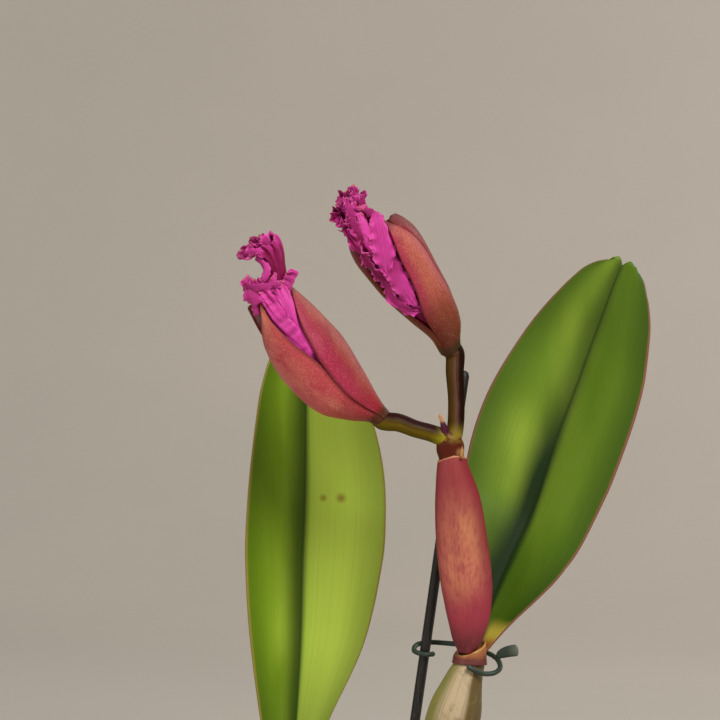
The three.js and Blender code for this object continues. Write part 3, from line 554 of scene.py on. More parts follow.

# ---- Pseudobulbs ----
# The swollen stems that store water: the lead one, with a leaf and the flower stem, and an
# older, shorter one. They are fleshy, ribbed and olive under a thin cream papery film, and
# the lead one is purple at its neck. The cream down each front is partly that film and
# partly a painted highlight.

LEAD_BULB = [
    [5, -8, 87, 4.6, 4.4],
    [5.9, -7, 99, 6.8, 5.8],
    [8.2, -6, 112, 9, 7.6],
    [11, -5, 126, 10.8, 9],
    [14.2, -4, 139, 11, 9.2],
    [17.8, -3, 152, 10.3, 8.8],
    [21, -2, 164, 9.2, 8],
    [23.9, -1.2, 175, 8.7, 7.4],
    [26.5, -0.5, 184, 6.4, 6],
    [28.4, 0.2, 189.3, 5.1, 5.2],
    [28.8, 0.4, 192.6, 5, 5],
]
SECOND_BULB = [
    [-20, 22, 86, 4.8, 4.6],
    [-21, 24.5, 92, 6.8, 6.4],
    [-24, 28.5, 102, 8.8, 8],
    [-27.5, 32.5, 113, 8.2, 7.4],
    [-30.5, 35.5, 123, 5.6, 5.2],
    [-32, 37, 129, 4.2, 4.2],
    [-32.5, 37.3, 131.6, 3.3, 3.3],
]
BULB_RIBS = {"count": 6, "depth": 0.045}


def bulb(name, rows, phase):
    def ribs(angle, t):
        swell = np.sin(np.pi * t)
        deep = BULB_RIBS["depth"] * swell * (1 + np.cos(BULB_RIBS["count"] * angle + phase))
        creases = 0.008 * swell * np.sin(23 * angle + 3 * np.sin(5 * t) + phase)
        return 1 - deep + creases + 0.005 * np.sin(41 * angle + 9 * t)

    return tube(name, hoops(measured(rows), 120, 130, ribs, 0.012))


def bulb_skin(name, neck):
    """Brown, olive on its left, with cream down its front, partly papery and partly a painted
    highlight. `neck` colours its top.
    """
    r = Recipe(name)
    around, length = r.lay()
    lines = r.noise(r.grain(60, 2.2), 1, 4, 0.6, 0.2)
    blotch = r.noise(r.place(), 120, 4, 0.6, 0.8)
    front = abs(around * 2 - 1).rising(0.66, 0.9)
    left = around.rising(0.6, 0.72) * around.rising(0.98, 0.88)
    bare_right = around.rising(0.03, 0.075) * around.rising(0.55, 0.45)
    # cream down the front: partly papery skin, partly a painted highlight
    film_and_highlight = front * (1 - bare_right) * (blotch.rising(0.3, 0.5) * 0.7 + 0.3)
    film_and_highlight = film_and_highlight * length.rising(0.1, 0.2)
    colour = r.layered(
        tint(98, 80, 38),
        (tint(138, 132, 72), left),
        (tint(62, 48, 26), lines.rising(0.5, 0.7) * 0.6),
        (tint(192, 170, 136), film_and_highlight * (1 - lines.rising(0.5, 0.66) * 0.4) * 0.9),
        (tint(116, 124, 54), blotch.rising(0.6, 0.68) * 0.7),
        (neck, length.rising(0.93, 0.985) * 0.85),
    )
    return r.finish(
        colour, 0.42 + lines * 0.2, lines * 0.7 + blotch * 0.3, 0.0007, 0.55,
        Coat_Weight=0.15, Coat_Roughness=0.3,
    )


lead_skin = bulb_skin("lead_bulb_skin", tint(104, 50, 52))
old_skin = bulb_skin("old_bulb_skin", tint(120, 118, 60))
piece(bulb("lead_bulb", LEAD_BULB, 0.6), lead_skin, "pseudobulb", "pseudobulb_lead")
piece(bulb("second_bulb", SECOND_BULB, 2), old_skin, "pseudobulb", "pseudobulb_second")

# ---- Husks ----
# Last year's sheathing leaves, dried to brittle tan paper round the foot of each pseudobulb.
# Each is wrapped once round, split down the back and torn along its upper edge.

# share of the bulb's length it starts and ends at, angle it is open over, angle its middle
# faces, and how far its top stands off
LEAD_HUSK = (0.09, 0.46, 16, 20, 1.2)
SECOND_HUSK = (0.16, 0.72, 20, -30, 0.8)
# a husk's thickness at its foot and at its top, and how far it stands off the bulb all along
HUSK = {"foot": 0.45, "top": 0.3, "off": 0.65}


def sheet(name, point, thickness, columns, rows, tone=0.5, gather=0.8, back_tone=1.0, folds=0.0):
    """A closed sheet round a middle surface point(u, v), with a rounded rim.

    u goes from -1 to 1 across it and v from 0 to 1 up it. Its `lay` holds (u + 1) / 2 and v.
    Its `tone` holds a number of the sheet's own, and another that is 0 on its front face and
    `back_tone` on its back. The first may be a function of u and v. It rises on the ridges of
    folds and falls in their valleys by up to `folds`, as painted light on the ridges and painted
    shade in the valleys.
    """
    u = 2 * gathered(columns, gather)[None, :] - 1
    v = gathered(rows, 0.5)[:, None]
    middle = point(u + 0 * v, v + 0 * u)
    out = unit(np.cross(np.gradient(middle, axis=1), np.gradient(middle, axis=0)))
    wide = np.linalg.norm(np.diff(middle, axis=1), axis=2).cumsum(1)
    tall = np.linalg.norm(np.diff(middle, axis=0), axis=2).cumsum(0)
    wide = np.concatenate([0 * wide[:, :1], wide], 1)
    tall = np.concatenate([0 * tall[:1], tall], 0)
    rim = np.minimum(np.minimum(wide, wide[:, -1:] - wide), np.minimum(tall, tall[-1:] - tall))
    half = thickness(u + 0 * v, v + 0 * u) / 2
    half = half * np.sqrt(1 - np.clip(1 - rim / half, 0, 1) ** 2)
    front, back = middle + out * half[..., None], middle - out * half[..., None]
    inner = np.zeros(half.shape, bool)
    inner[1:-1, 1:-1] = True
    ids = np.arange(half.size).reshape(half.shape)
    other = ids.copy()
    other[inner] = half.size + np.arange(inner.sum())
    i, j = (a.ravel() for a in np.meshgrid(np.arange(rows), np.arange(columns), indexing="ij"))
    ring = [(i, j), (i, j + 1), (i + 1, j + 1), (i + 1, j)]
    fore = np.stack([ids[a, b] for a, b in ring], -1)
    aft = np.stack([other[a, b] for a, b in ring[::-1]], -1)
    spots = np.stack([np.stack([(u[0, b] + 1) / 2, v[a, 0]], -1) for a, b in ring], 1)
    lay = np.concatenate([spots, spots[:, ::-1]]).reshape(-1, 2)
    backs = np.repeat([0.0, back_tone], spots.shape[0] * 4)
    # painted light and shade: the tone rises where the sheet stands above a smoothed copy of itself
    # and falls where it lies below
    calm = middle.copy()
    for _ in range(24 if folds else 0):
        near = calm[:-2, 1:-1] + calm[2:, 1:-1] + calm[1:-1, :-2] + calm[1:-1, 2:]
        calm[1:-1, 1:-1] = near / 4
    painted_fold_shade = folds * np.clip(((middle - calm) * out).sum(-1) / 0.3, -1, 1)
    even = 0 * painted_fold_shade + (tone(u, v) if callable(tone) else tone)
    shades = [np.stack([(even + painted_fold_shade)[a, b] for a, b in ring], 1)]
    shades += [np.stack([(even - painted_fold_shade)[a, b] for a, b in ring[::-1]], 1)]
    tones = np.stack([np.concatenate(shades).ravel(), backs], -1)
    points = np.vstack([front.reshape(-1, 3), back[inner]])
    faces = [tuple(f) for f in np.vstack([fore, aft]).tolist()]
    return mesh_object(name, points, faces, {"lay": lay, "tone": tones})


def husk(name, rows, low, high, opening, facing, lift):
    rows = measured(rows)

    def point(u, v):
        torn = 0.05 * np.sin(9 * u + facing) + 0.025 * np.sin(23 * u)
        torn = torn + 0.012 * np.sin(57 * u + 2) + 0.008 * np.sin(131 * u)
        t = low + (high + torn - low) * v
        middle, _, face, side = spine(rows, t)
        wide, deep = np.moveaxis(along(rows, t)[..., 3:5], -1, 0)
        angle = np.radians(facing + u * (180 - opening))
        overlap = 0.25 * (1 + u)
        waves = 0.18 * np.sin(40 * u + 3 * v) * v + 0.1 * np.sin(7 * v + 5 * u)
        off = HUSK["off"] + lift * v * v + overlap + waves
        middle = middle + side * ((wide + off) * np.sin(angle))[..., None]
        return middle + face * ((deep + off) * np.cos(angle))[..., None]

    def thickness(u, v):
        return HUSK["foot"] + (HUSK["top"] - HUSK["foot"]) * v + 0 * u

    return sheet(name, point, thickness, 170, 50, gather=0.2)


def husk_paper():
    r = Recipe("dry_husk")
    _, length = r.lay()
    veins = r.noise(r.grain(110, 1.6), 1, 4, 0.65, 0.15)
    blotch = r.noise(r.place(), 130, 5, 0.65, 1.0)
    colour = r.layered(
        tint(186, 158, 122),
        (tint(222, 204, 172), veins),
        (tint(128, 92, 62), blotch.rising(0.55, 0.75) * 0.7),
        (tint(112, 84, 60), length.rising(0.93, 1.0) * 0.5),
        (tint(96, 66, 48), veins.rising(0.62, 0.72) * 0.6),
    )
    return r.finish(colour, 0.75, veins * 0.8 + blotch * 0.2, 0.0007, 0.8)


paper_skin = husk_paper()
piece(husk("lead_husk", LEAD_BULB, *LEAD_HUSK), paper_skin, "husk", "husk_lead")
piece(husk("second_husk", SECOND_BULB, *SECOND_HUSK), paper_skin, "husk", "husk_second")

# ---- Potting bark ----
# The pot is filled round the roots with coarse chips of fir bark. Each chip is a torn, layered
# block, red-brown outside and paler where it broke, and the chips lie loose on each other.

# the height of the bed at its rim and how much more in its middle, the number of chips, how
# far out they lie, and how deep the lowest are sunk and how high the others are piled on that
BARK = {"level": 84, "crown": 3, "chips": 250, "spread": 52, "sunk": 0.8, "pile": 5.2}
# the largest sizes that a chip is drawn from, the parts its sides are cut into, how high its
# lumps are and how far apart, and how far it leans in radians
CHIP = {
    "length": 16, "width": 10.5, "height": 5.2, "cuts": (7, 5, 3),
    "lumps": 1.3, "apart": 5.5, "lean": 0.45,
}
GOLDEN_ANGLE = math.radians(137.508)
# what the chips leave room for: x, y and the clear radius round it
STANDING = [(5, -8, 8.5), (-20, 22, 10), (-0.6, 16.1, 3.4)]
STANDING += [(x, y, 3.2) for x, y in along(measured(RHIZOME), np.linspace(0, 1, 24))[:, :2]]


def rough(points, size, seed, octaves=3):
    """Smooth noise from about -1 to 1 at each point, with features of about `size`."""
    shift = mathutils.Vector((seed * 3.7, seed * 1.3, seed * 2.9))
    flat = np.asarray(points, float).reshape(-1, 3) / size
    found = [mathutils.noise.fractal(mathutils.Vector(p) + shift, 0.8, 2, octaves) for p in flat]
    return np.array(found).reshape(np.shape(points)[:-1])


def chip(n, size):
    """A block split along its grain: a box with many points, its faces pushed in and out."""
    cuts, index, points, faces = CHIP["cuts"], {}, [], []
    for i in range(cuts[0] + 1):
        for j in range(cuts[1] + 1):
            for k in range(cuts[2] + 1):
                if any(c in (0, top) for c, top in zip((i, j, k), cuts)):
                    index[i, j, k] = len(points)
                    points.append([c / top - 0.5 for c, top in zip((i, j, k), cuts)])
    for axis in range(3):
        a, b = [c for c in range(3) if c != axis]
        for level in (0, cuts[axis]):
            for i in range(cuts[a]):
                for j in range(cuts[b]):
                    ring = []
                    for da, db in ((0, 0), (1, 0), (1, 1), (0, 1)):
                        at = [0, 0, 0]
                        at[axis], at[a], at[b] = level, i + da, j + db
                        ring.append(index[tuple(at)])
                    faces.append(tuple(ring if (level > 0) != (axis == 1) else ring[::-1]))
    points = np.array(points)
    out = unit(points)
    worn = 0.18 * np.abs(points[:, [1, 0, 0]]) + 0.14 * np.abs(points[:, [2, 2, 1]])
    points = points * (1 - worn) * size
    points = points + out * rough(points, CHIP["apart"], n % 97)[:, None] * CHIP["lumps"]
    points[:, 2] += 0.4 * np.sin(points[:, 1] * 2.1 + n)
    return points, faces


def chips():
    points, faces, corners = [], [], []
    for n in range(BARK["chips"]):
        share = ((n + 0.5) / BARK["chips"]) ** 0.5
        turn = GOLDEN_ANGLE * n + 0.4 * draw(n, 1)
        small = 0.55 + 0.75 * draw(n, 2)
        size = small * np.array([
            CHIP["length"], CHIP["width"] * (0.7 + 0.5 * draw(n, 3)),
            CHIP["height"] * (0.7 + 0.6 * draw(n, 4)),
        ])
        out = min(BARK["spread"] * share, BARK["spread"] + 1.5 - 0.5 * size[0])
        x, y = out * math.cos(turn), out * math.sin(turn)
        if any(math.hypot(x - a, y - b) < clear + 0.34 * size[0] for a, b, clear in STANDING):
            continue
        body, sides = chip(n, size)
        lean = [CHIP["lean"] * (2 * draw(n, kind) - 1) for kind in (5, 6)]
        laid = mathutils.Euler((*lean, 6.28 * draw(n, 7)))
        body = body @ np.array(laid.to_matrix()).T
        bed = BARK["level"] + BARK["crown"] * (1 - share * share)
        level = bed - BARK["sunk"] + BARK["pile"] * draw(n, 8)
        faces += [tuple(len(points) + v for v in side) for side in sides]
        points += (body + [x, y, level]).tolist()
        corners += [(draw(n, 9), draw(n, 10))] * (4 * len(sides))
    made = mesh_object("bark_chips", points, faces, {"tone": corners})
    made.data.set_sharp_from_angle(angle=math.radians(38))
    return made


def bark_bed():
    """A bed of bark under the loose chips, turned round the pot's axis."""
    level, low = BARK["level"], POT["floor"] + 0.3
    profile = [(0, low), (inner_radius(low) - 3.3, low), (inner_radius(8) - 0.4, 8)]
    profile += [(inner_radius(level) - 0.4, level), (0, level + BARK["crown"] - 1.5)]
    return revolved("bark_bed", eased(profile, 3), 72)


def fir_bark():
    r = Recipe("fir_bark")
    tone, split = r.lay("tone")
    grain = r.noise(r.place((300, 300, 1300)), 1, 4, 0.6, 0.8)
    blotch = r.noise(r.place(), 160, 4, 0.6, 0.5)
    dust = r.noise(r.place(), 1500, 2).rising(0.6, 0.8)
    colour = r.layered(
        tint(72, 44, 30),
        (tint(122, 80, 54), tone),
        (tint(158, 112, 78), split.rising(0.62, 0.95) * blotch.rising(0.4, 0.62)),
        (tint(40, 25, 18), grain.rising(0.5, 0.68) * 0.75),
        (tint(150, 132, 108), dust * 0.3),
    )
    return r.finish(colour, 0.88, grain * 0.7 + blotch * 0.3, 0.0016, 0.9)


bark_skin = fir_bark()
piece(chips(), bark_skin, "bark", "bark_medium")
piece(bark_bed(), bark_skin, "bark", "bark_medium")

# ---- Leaves ----
# Two thick, leathery strap leaves, folded along a grooved midrib, one from each pseudobulb.
# They are satin green with fine lengthwise lines, a thin red-brown rim and a notched tip.
# Their greens also hold painted light and shade: a lighter and a darker half, pale patches,
# and dark bands of painted shade along the groove, towards the margins and low down.

# thickness at the edge and the midrib, half the groove's width, how deep the tip is notched, and
# the height of the long waves and short ripples at the edges
LEAF = {"edge": 1, "midrib": 1.9, "groove": 1.6, "notch": 2.4, "wave": 0.9, "ripple": 0.12}
# x, y, z of the midrib, half-width to the left and right, fold and turn in degrees
RIGHT_LEAF = [
    [30.6, 3, 193, 3.9, 3.5, 30, -10],
    [34.5, 6.5, 205, 8, 11, 28, -12],
    [39.1, 9, 217, 13.8, 18, 24, -15],
    [44, 11, 227.6, 19.6, 21.7, 22, -16],
    [49.4, 13, 238.7, 24.1, 23.5, 20, -17],
    [54.5, 14.2, 253, 27.2, 25.9, 20, -17],
    [59.7, 15, 267.3, 28, 26.5, 20, -17],
    [65, 14.2, 281, 26.6, 25.7, 20, -17],
    [69.7, 13, 294.4, 23.1, 23.5, 19, -17],
    [74, 10.5, 306.5, 18.4, 19.3, 18, -16],
    [77.3, 8.5, 316, 13.2, 13.9, 16, -15],
    [79.2, 7.2, 320.8, 8.8, 9.6, 12, -14],
    [80, 6.6, 322.8, 5.3, 6.1, 8, -14],
]
LEFT_LEAF = [
    [-32.6, 37.4, 131, 3.1, 3.2, 34, 16],
    [-31.8, 39.4, 147, 8.2, 5.8, 30, 18],
    [-30.6, 41, 166.1, 16.9, 12.2, 27, 21],
    [-29.2, 44, 193.6, 24.3, 23.4, 25, 22],
    [-28.6, 46, 221.3, 27.1, 28.6, 25, 22],
    [-27.8, 46.4, 241, 26.9, 28.8, 25, 22],
    [-27.5, 46, 256.1, 25.5, 27.4, 25, 22],
    [-27.4, 45, 272, 22.3, 23.4, 24, 21],
    [-27.4, 44, 284, 18.9, 18.4, 22, 20],
    [-27.6, 42.6, 295, 13.3, 10.8, 18, 19],
    [-27.8, 41.4, 302, 5.5, 4, 10, 18],
]


def leaf(name, rows):
    rows = measured(rows)

    def point(u, v):
        left, right, fold, turn = np.moveaxis(along(rows, v)[..., 3:7], -1, 0)
        middle, go, face, side = spine(rows, v, turn)
        fold = np.radians(fold)
        out = u * np.where(u < 0, left, right)
        rise = np.hypot(out, LEAF["groove"]) - LEAF["groove"]
        wave = LEAF["wave"] * u * u * np.sin(9 * v + 2 * np.tanh(12 * u))
        wave = wave + LEAF["ripple"] * np.sin(17 * v + 5 * u) * np.abs(u)
        lobe = LEAF["notch"] * v ** 14 * np.sin(np.pi * np.minimum(1.25 * np.abs(u), 1))
        middle = middle + side * (out * np.cos(fold))[..., None] + go * lobe[..., None]
        return middle + face * (rise * np.sin(fold) + wave)[..., None]

    def thickness(u, v):
        return LEAF["midrib"] + (LEAF["edge"] - LEAF["midrib"]) * np.abs(u)

    return sheet(name, point, thickness, columns=76, rows=150)


def leaf_skin(name, lit_and_shaded_greens, rim, groove, groove_shade, foot, spots=()):
    """The satin green of a leaf.

    `lit_and_shaded_greens` is its left half, the paler clouds on that and its right half: the two
    sides differ as painted light and shade on the fold, and the clouds are painted light.
    `groove_shade` is the dark band along the groove, painted shade: where it starts, is full and
    ends across the leaf, and its shares all along and lower down. `foot` is the edges and the
    middle low down, and how far up they go. Each of `spots` is a blemish's place and radius.
    """
    left, pale, right = lit_and_shaded_greens
    start, full, end, all_along, lower = groove_shade
    edges_low, middle_low, reach = foot
    r = Recipe(name)
    across, length = r.lay()
    off = abs(across * 2 - 1)
    cloud = r.noise(r.place((1, 1, 0.3)), 34, 3, 0.5, 0.3)
    lines = r.noise(r.grain(150, 1.2), 1, 3, 0.6)
    wide_lines = r.noise(r.grain(26, 0.7), 1, 2)
    on_left = across.rising(0.6, 0.5)
    clouds = cloud.rising(0.34, 0.66) * off.rising(0.95, 0.35) * (on_left * 0.7 + 0.3)
    lit = length.rising(0.28, 0.42) * length.rising(0.75, 0.5) * off.rising(0.95, 0.4)
    # painted shade: a dark band along the groove, where the fold turns from the light, and the left
    # half low down
    band = across.rising(start, full) * across.rising(end, 0.5)
    shaded = across.rising(0.04, 0.4) * on_left * length.rising(0.42, 0.16)
    colour = r.layered(
        left,
        # the greens of the left and right half differ as painted light and shade on the fold
        (right, across.rising(0.44, 0.6)),
        # painted light: pale clouds, stronger on the left half, and a lit band across the middle
        (pale, clouds + lit * on_left * 0.26),
        # darker low down, as painted shade, and a little darker towards the tip
        (groove, length.rising(0.4, 0.14) * 0.4 + length.rising(0.7, 0.9) * 0.14),
        (groove, lines.rising(0.5, 0.75) * 0.16 + wide_lines * 0.08),
        # painted shade towards the margins
        (groove, off.rising(0.5, 1.0) * 0.38),
        (groove, band * (length.rising(0.75, 0.4) * lower + all_along)),
        (groove, shaded * lower * 2.1),
        # painted shade in the midrib's groove
        (groove, off.rising(0.05, 0.0) * 0.6),
        (edges_low, length.rising(reach, reach * 0.55) * off.rising(0.1, 0.5)),
        (middle_low, length.rising(reach * 0.5, reach * 0.2)),
        (rim, off.rising(0.962, 0.99)),
        *((tint(124, 86, 24), r.near(spot, radius) * 0.75) for spot, radius in spots),
    )
    height = lines * 0.35 + wide_lines * 0.4 + r.noise(r.place(), 900, 2) * 0.25
    return r.finish(
        colour, 0.42 + cloud * 0.12, height, 0.0005, 0.3,
        Coat_Weight=0.02, Coat_Roughness=0.3, Specular_IOR_Level=0.2,
    )


right_greens = leaf_skin(
    "right_leaf_skin", (tint(98, 130, 34), tint(138, 166, 54), tint(84, 116, 20)),
    tint(131, 87, 67), tint(24, 46, 0), (0.28, 0.48, 0.6, 0.62, 0.5),
    (tint(186, 168, 66), tint(150, 92, 48), 0.1),
)
left_greens = leaf_skin(
    "left_leaf_skin", (tint(116, 152, 24), tint(168, 200, 66), tint(176, 200, 74)),
    tint(140, 128, 56), tint(40, 62, 6), (0.26, 0.48, 0.56, 0.85, 0.05),
    (tint(150, 158, 66), tint(140, 128, 60), 0.08),
    [((-14.6, 45.3, 242.9), 2.6), ((-20.8, 45.9, 242.9), 1.9)],
)
piece(leaf("right_leaf_blade", RIGHT_LEAF), right_greens, "leaf", "leaf_right")
piece(leaf("left_leaf_blade", LEFT_LEAF), left_greens, "leaf", "leaf_left")

# the foot of the right leaf clasps the bulb's neck and the stem in a short sleeve
COLLAR_WALL = 0.7
COLLAR = [
    [28.5, 0.1, 189.8, 5.9, 5.9],
    [28.6, 0.1, 191.4, 5.7, 5.8],
    [28.8, -0.2, 193, 5.4, 5.7],
    [29.1, -0.6, 195, 5.0, 5.5],
]


def sleeve(name, rows, wall, mesh, rise, shape=None):
    """A tube open at its top, with a rounded lip. `rise(angle, t)` is how far it is lifted."""
    angle, t = round_about(mesh[0]), np.linspace(0, 1, mesh[1] + 1)[:, None]

    def skin(grow):
        made = hoops(measured(rows), *mesh, shape, grow=grow)
        made[..., 2] += rise(angle, t)
        return made

    outer, inner = skin(0), skin(-wall)[::-1]
    over = (outer[-1] + inner[0]) / 2 + [0, 0, wall / 2]
    return tube(name, np.concatenate([outer, over[None], inner]), ring=True)


def slanting(angle, t):
    """Lifts a sleeve's upper end most on its right."""
    return t ** 3 * (2.5 * np.sin(angle) - 0.5 * np.cos(angle) + 0.08 * np.sin(5 * angle))


def collar_skin():
    r = Recipe("collar_skin")
    _, length = r.lay()
    cloud = r.noise(r.place(), 240, 4, 0.6, 0.4)
    lines = r.noise(r.place((700, 700, 60)), 1, 3)
    up = length * 2 + (cloud - 0.5) * 0.5
    colour = r.layered(
        tint(104, 48, 46),
        (tint(164, 100, 54), up.rising(0.4, 0.9)),
        (tint(188, 150, 84), up.rising(0.88, 1.0) * 0.7),
        (tint(104, 44, 44), lines.rising(0.52, 0.7) * 0.5),
    )
    return r.finish(colour, 0.5, lines * 0.6 + cloud * 0.4, 0.0005, 0.5, Coat_Weight=0.08)


made = sleeve("leaf_collar", COLLAR, COLLAR_WALL, (72, 40), slanting)
piece(made, collar_skin(), "leaf", "leaf_right")

# ---- Flower stem ----
# It comes up from the bulb's neck through the sheath to a knuckle where the two stalks part.
# The knuckle is red-brown, with a purple stub above it and dry tan bract scales on both.

STEM = [
    [27.4, -2.8, 193.7, 1.6, 1.5],
    [27.9, -4.6, 204, 2, 1.9],
    [27.2, -6.2, 218, 2.2, 2.2],
    [24.9, -9.1, 238, 2.5, 2.4],
    [23, -11.2, 252.5, 3, 2.7],
    [22.2, -11.9, 257.5, 3.6, 3.2],
]
KNUCKLE = [
    [22.3, -11.9, 256.2, 3.5, 3.1],
    [22, -12.2, 259.4, 4.2, 3.5],
    [21.7, -12.4, 261.8, 4.6, 3.6],
    [21.5, -12.7, 264.2, 4.3, 3.5],
    [21.4, -12.9, 266.4, 3, 2.8],
    [21.5, -12.9, 268.2, 1.4, 1.6],
]
STUB = [
    [20.4, -14.4, 265.4, 1.3, 1.2],
    [19.8, -14.9, 267.6, 1.3, 1],
    [19.3, -15.2, 269.6, 1, 0.75],
    [18.8, -15.3, 271.3, 0.6, 0.45],
    [18, -15.4, 273.2, 0.5, 0.3],
]
BRACT = [
    [24.9, -15, 257.8, 0.5, 0.35],
    [25.4, -15.4, 260.6, 0.6, 0.35],
    [25.5, -15.3, 263.4, 0.35, 0.25],
]


def fleshy(bumps):
    """The slight unevenness of a living stem."""
    def shape(angle, t):
        return 1 + bumps * (np.sin(3 * angle + 6 * t) + 0.6 * np.sin(5 * angle - 23 * t))
    return shape


def stem():
    parts = [
        tube("stem", hoops(measured(STEM), 36, 90, fleshy(0.02), 0.01)),
        tube("knuckle", hoops(measured(KNUCKLE), 56, 60, fleshy(0.012), 0.12)),
        tube("stub", hoops(measured(STUB), 28, 50, fleshy(0.05), 0.12)),
        tube("bract", hoops(measured(BRACT), 20, 30, fleshy(0.05), 0.12)),
    ]
    return joined("flower_stem_and_knuckle", parts)


def stem_skin():
    r = Recipe("stem_skin")
    cloud = r.noise(r.place(), 260, 4, 0.6, 0.5)
    high = r.node("SeparateXYZ", {}, {"Vector": r.place()})["Z"]
    colour = r.layered(
        tint(70, 22, 10),
        (tint(96, 36, 14), cloud),
        (tint(134, 112, 38), high.rising(0.2625, 0.266) * cloud.rising(0.4, 0.6)),
        (tint(76, 26, 50), r.near((19.8, -15.2, 268.6), 3.4) * 2.0),
        (tint(184, 132, 84), high.rising(0.2703, 0.2712)),
        (tint(176, 128, 80), r.near((25.6, -15.9, 260.6), 2.6) * 1.6),
    )
    fine = r.noise(r.place(), 1600, 2)
    return r.finish(
        colour, 0.5, cloud * 0.5 + fine * 0.5, 0.0004, 0.5, Specular_IOR_Level=0.2,
    )


piece(stem(), stem_skin(), "stalk", "flower_stem")

# ---- Sheath ----
# The flat papery-fleshy sleeve that the flower stem grew up through, pressed to a fold down
# each side and open at the top. It is salmon in the middle and crimson along its folds and foot.

SHEATH_WALL = 0.7
# x, y, z, half-width and half-depth outside
SHEATH = [
    [27.4, -2.9, 194.1, 2.9, 2.7],
    [27.6, -3.8, 198.3, 5, 3.4],
    [28, -4.6, 204.7, 6.9, 4],
    [27.8, -5.4, 211.4, 8, 4.4],
    [27.2, -6.2, 218.1, 8.6, 4.7],
    [25.6, -8.2, 231.5, 8.5, 4.9],
    [24.2, -10.2, 244.8, 7.5, 4.8],
    [22.9, -11.2, 253, 5.9, 4.5],
    [22.2, -11.8, 258.2, 4.7, 4.2],
]


def lens(angle, t):
    """The section of a sleeve that is pressed flat, with shallow veins."""
    flat = 1 - 0.1 * np.cos(angle) ** 2 * np.abs(np.sin(angle))
    return flat + 0.004 * np.sin(26 * angle + 2 * np.sin(4 * t)) * np.sin(np.pi * t)


def lipped(angle, t):
    """Lifts a sleeve's mouth in front and behind, so that it dips at the folds."""
    lip = 1.5 * np.cos(angle) ** 2 + 0.08 * np.sin(7 * angle) + 0.03 * np.sin(17 * angle)
    return np.clip(9 * t - 8, 0, 1) * lip


def sheath_skin():
    r = Recipe("sheath_skin")
    around, length = r.lay()
    up = length * 2
    side = abs(abs(around * 2 - 1) * 2 - 1)
    stripes = r.noise(r.grain(60, 1.6), 1, 4, 0.6, 0.3)
    cloud = r.noise(r.place((1, 1, 0.6)), 110, 4, 0.6, 0.7)
    flecks = r.noise(r.place((1, 1, 0.3)), 900, 3, 0.65)
    # painted shade: the right side is darkened
    right = around.rising(0.04, 0.16) * around.rising(0.5, 0.3)
    colour = r.layered(
        tint(138, 48, 52),
        (tint(196, 122, 86), side.rising(0.06, 0.7)),
        (tint(200, 104, 92), up.rising(0.62, 0.4) * cloud.rising(0.3, 0.6) * 0.7),
        (tint(128, 34, 48), right * 0.6),
        (tint(164, 72, 70), cloud.rising(0.36, 0.72) * 0.6),
        (tint(138, 32, 50), up.rising(0.6, 0.92) * 0.85),
        (tint(148, 24, 58), up.rising(0.46, 0.18) * 0.85),
        (tint(90, 20, 30), up.rising(0.2, 0.04) * 0.9),
        (tint(138, 38, 52), flecks.rising(0.42, 0.68) * 0.5),
        (tint(140, 46, 56), stripes.rising(0.5, 0.74) * 0.4),
        (tint(222, 154, 108), up.rising(0.984, 0.998)),
    )
    fine = r.noise(r.place(), 1500, 2)
    return r.finish(
        colour, 0.46 + stripes * 0.12, stripes * 0.6 + fine * 0.4, 0.0004, 0.45,
        Coat_Weight=0.06, Coat_Roughness=0.35,
    )


made = sleeve("flower_sheath", SHEATH, SHEATH_WALL, (112, 120), lipped, lens)
piece(made, sheath_skin(), "sheath", "floral_sheath")

# ---- Flower stalks ----
# One to each bud, meeting the stem's knuckle. They are smooth, fleshy and dark olive-maroon,
# swelling into the bud's foot and yellower where they leave the knuckle. A pale line down
# their front is a painted highlight.

LEFT_BUD = {"foot": [-2.7, -14, 273.3], "lean": 45.4, "tilt": 10}
RIGHT_BUD = {"foot": [21.6, -13.5, 295.3], "lean": 34.8, "tilt": 25}


def stood(points, bud):
    """Turns a bud's own upright frame to how the bud stands."""
    turn = mathutils.Matrix.Rotation(-math.radians(bud["lean"]), 3, "Y")
    turn = turn @ mathutils.Matrix.Rotation(math.radians(bud["tilt"]), 3, "X")
    return np.asarray(points, float) @ np.array(turn).T + bud["foot"]


def heel(bud, back):
    return stood([0, 0, -back], bud).tolist()


LEFT_STALK = [
    [21.8, -12.9, 264.4, 2.2, 2.2],
    [18.8, -13, 265.7, 2.9, 2.9],
    [15.2, -13, 267, 2.85, 2.85],
    [10.1, -13.4, 268.4, 2.85, 2.85],
    [4.6, -13.7, 270.4, 3, 3],
    [*heel(LEFT_BUD, 3.2), 3.15, 3.15],
    [*heel(LEFT_BUD, 0.6), 3.2, 3.2],
    [*heel(LEFT_BUD, -1.5), 3.1, 3.1],
    [*heel(LEFT_BUD, -3), 2.4, 2.4],
]
RIGHT_STALK = [
    [22.2, -12.4, 262.4, 2.2, 2.2],
    [23, -12.1, 266, 2.7, 2.6],
    [23.6, -12, 271, 2.75, 2.65],
    [23.7, -12.3, 278, 2.75, 2.75],
    [23.2, -12.7, 287, 3, 3],
    [*heel(RIGHT_BUD, 3.2), 3.2, 3.2],
    [*heel(RIGHT_BUD, 0.6), 3.45, 3.45],
    [*heel(RIGHT_BUD, -1.5), 3.4, 3.4],
    [*heel(RIGHT_BUD, -3), 2.6, 2.6],
]


def stalk(name, rows):
    return tube(name, hoops(measured(rows), 40, 110, fleshy(0.005), 0.012))


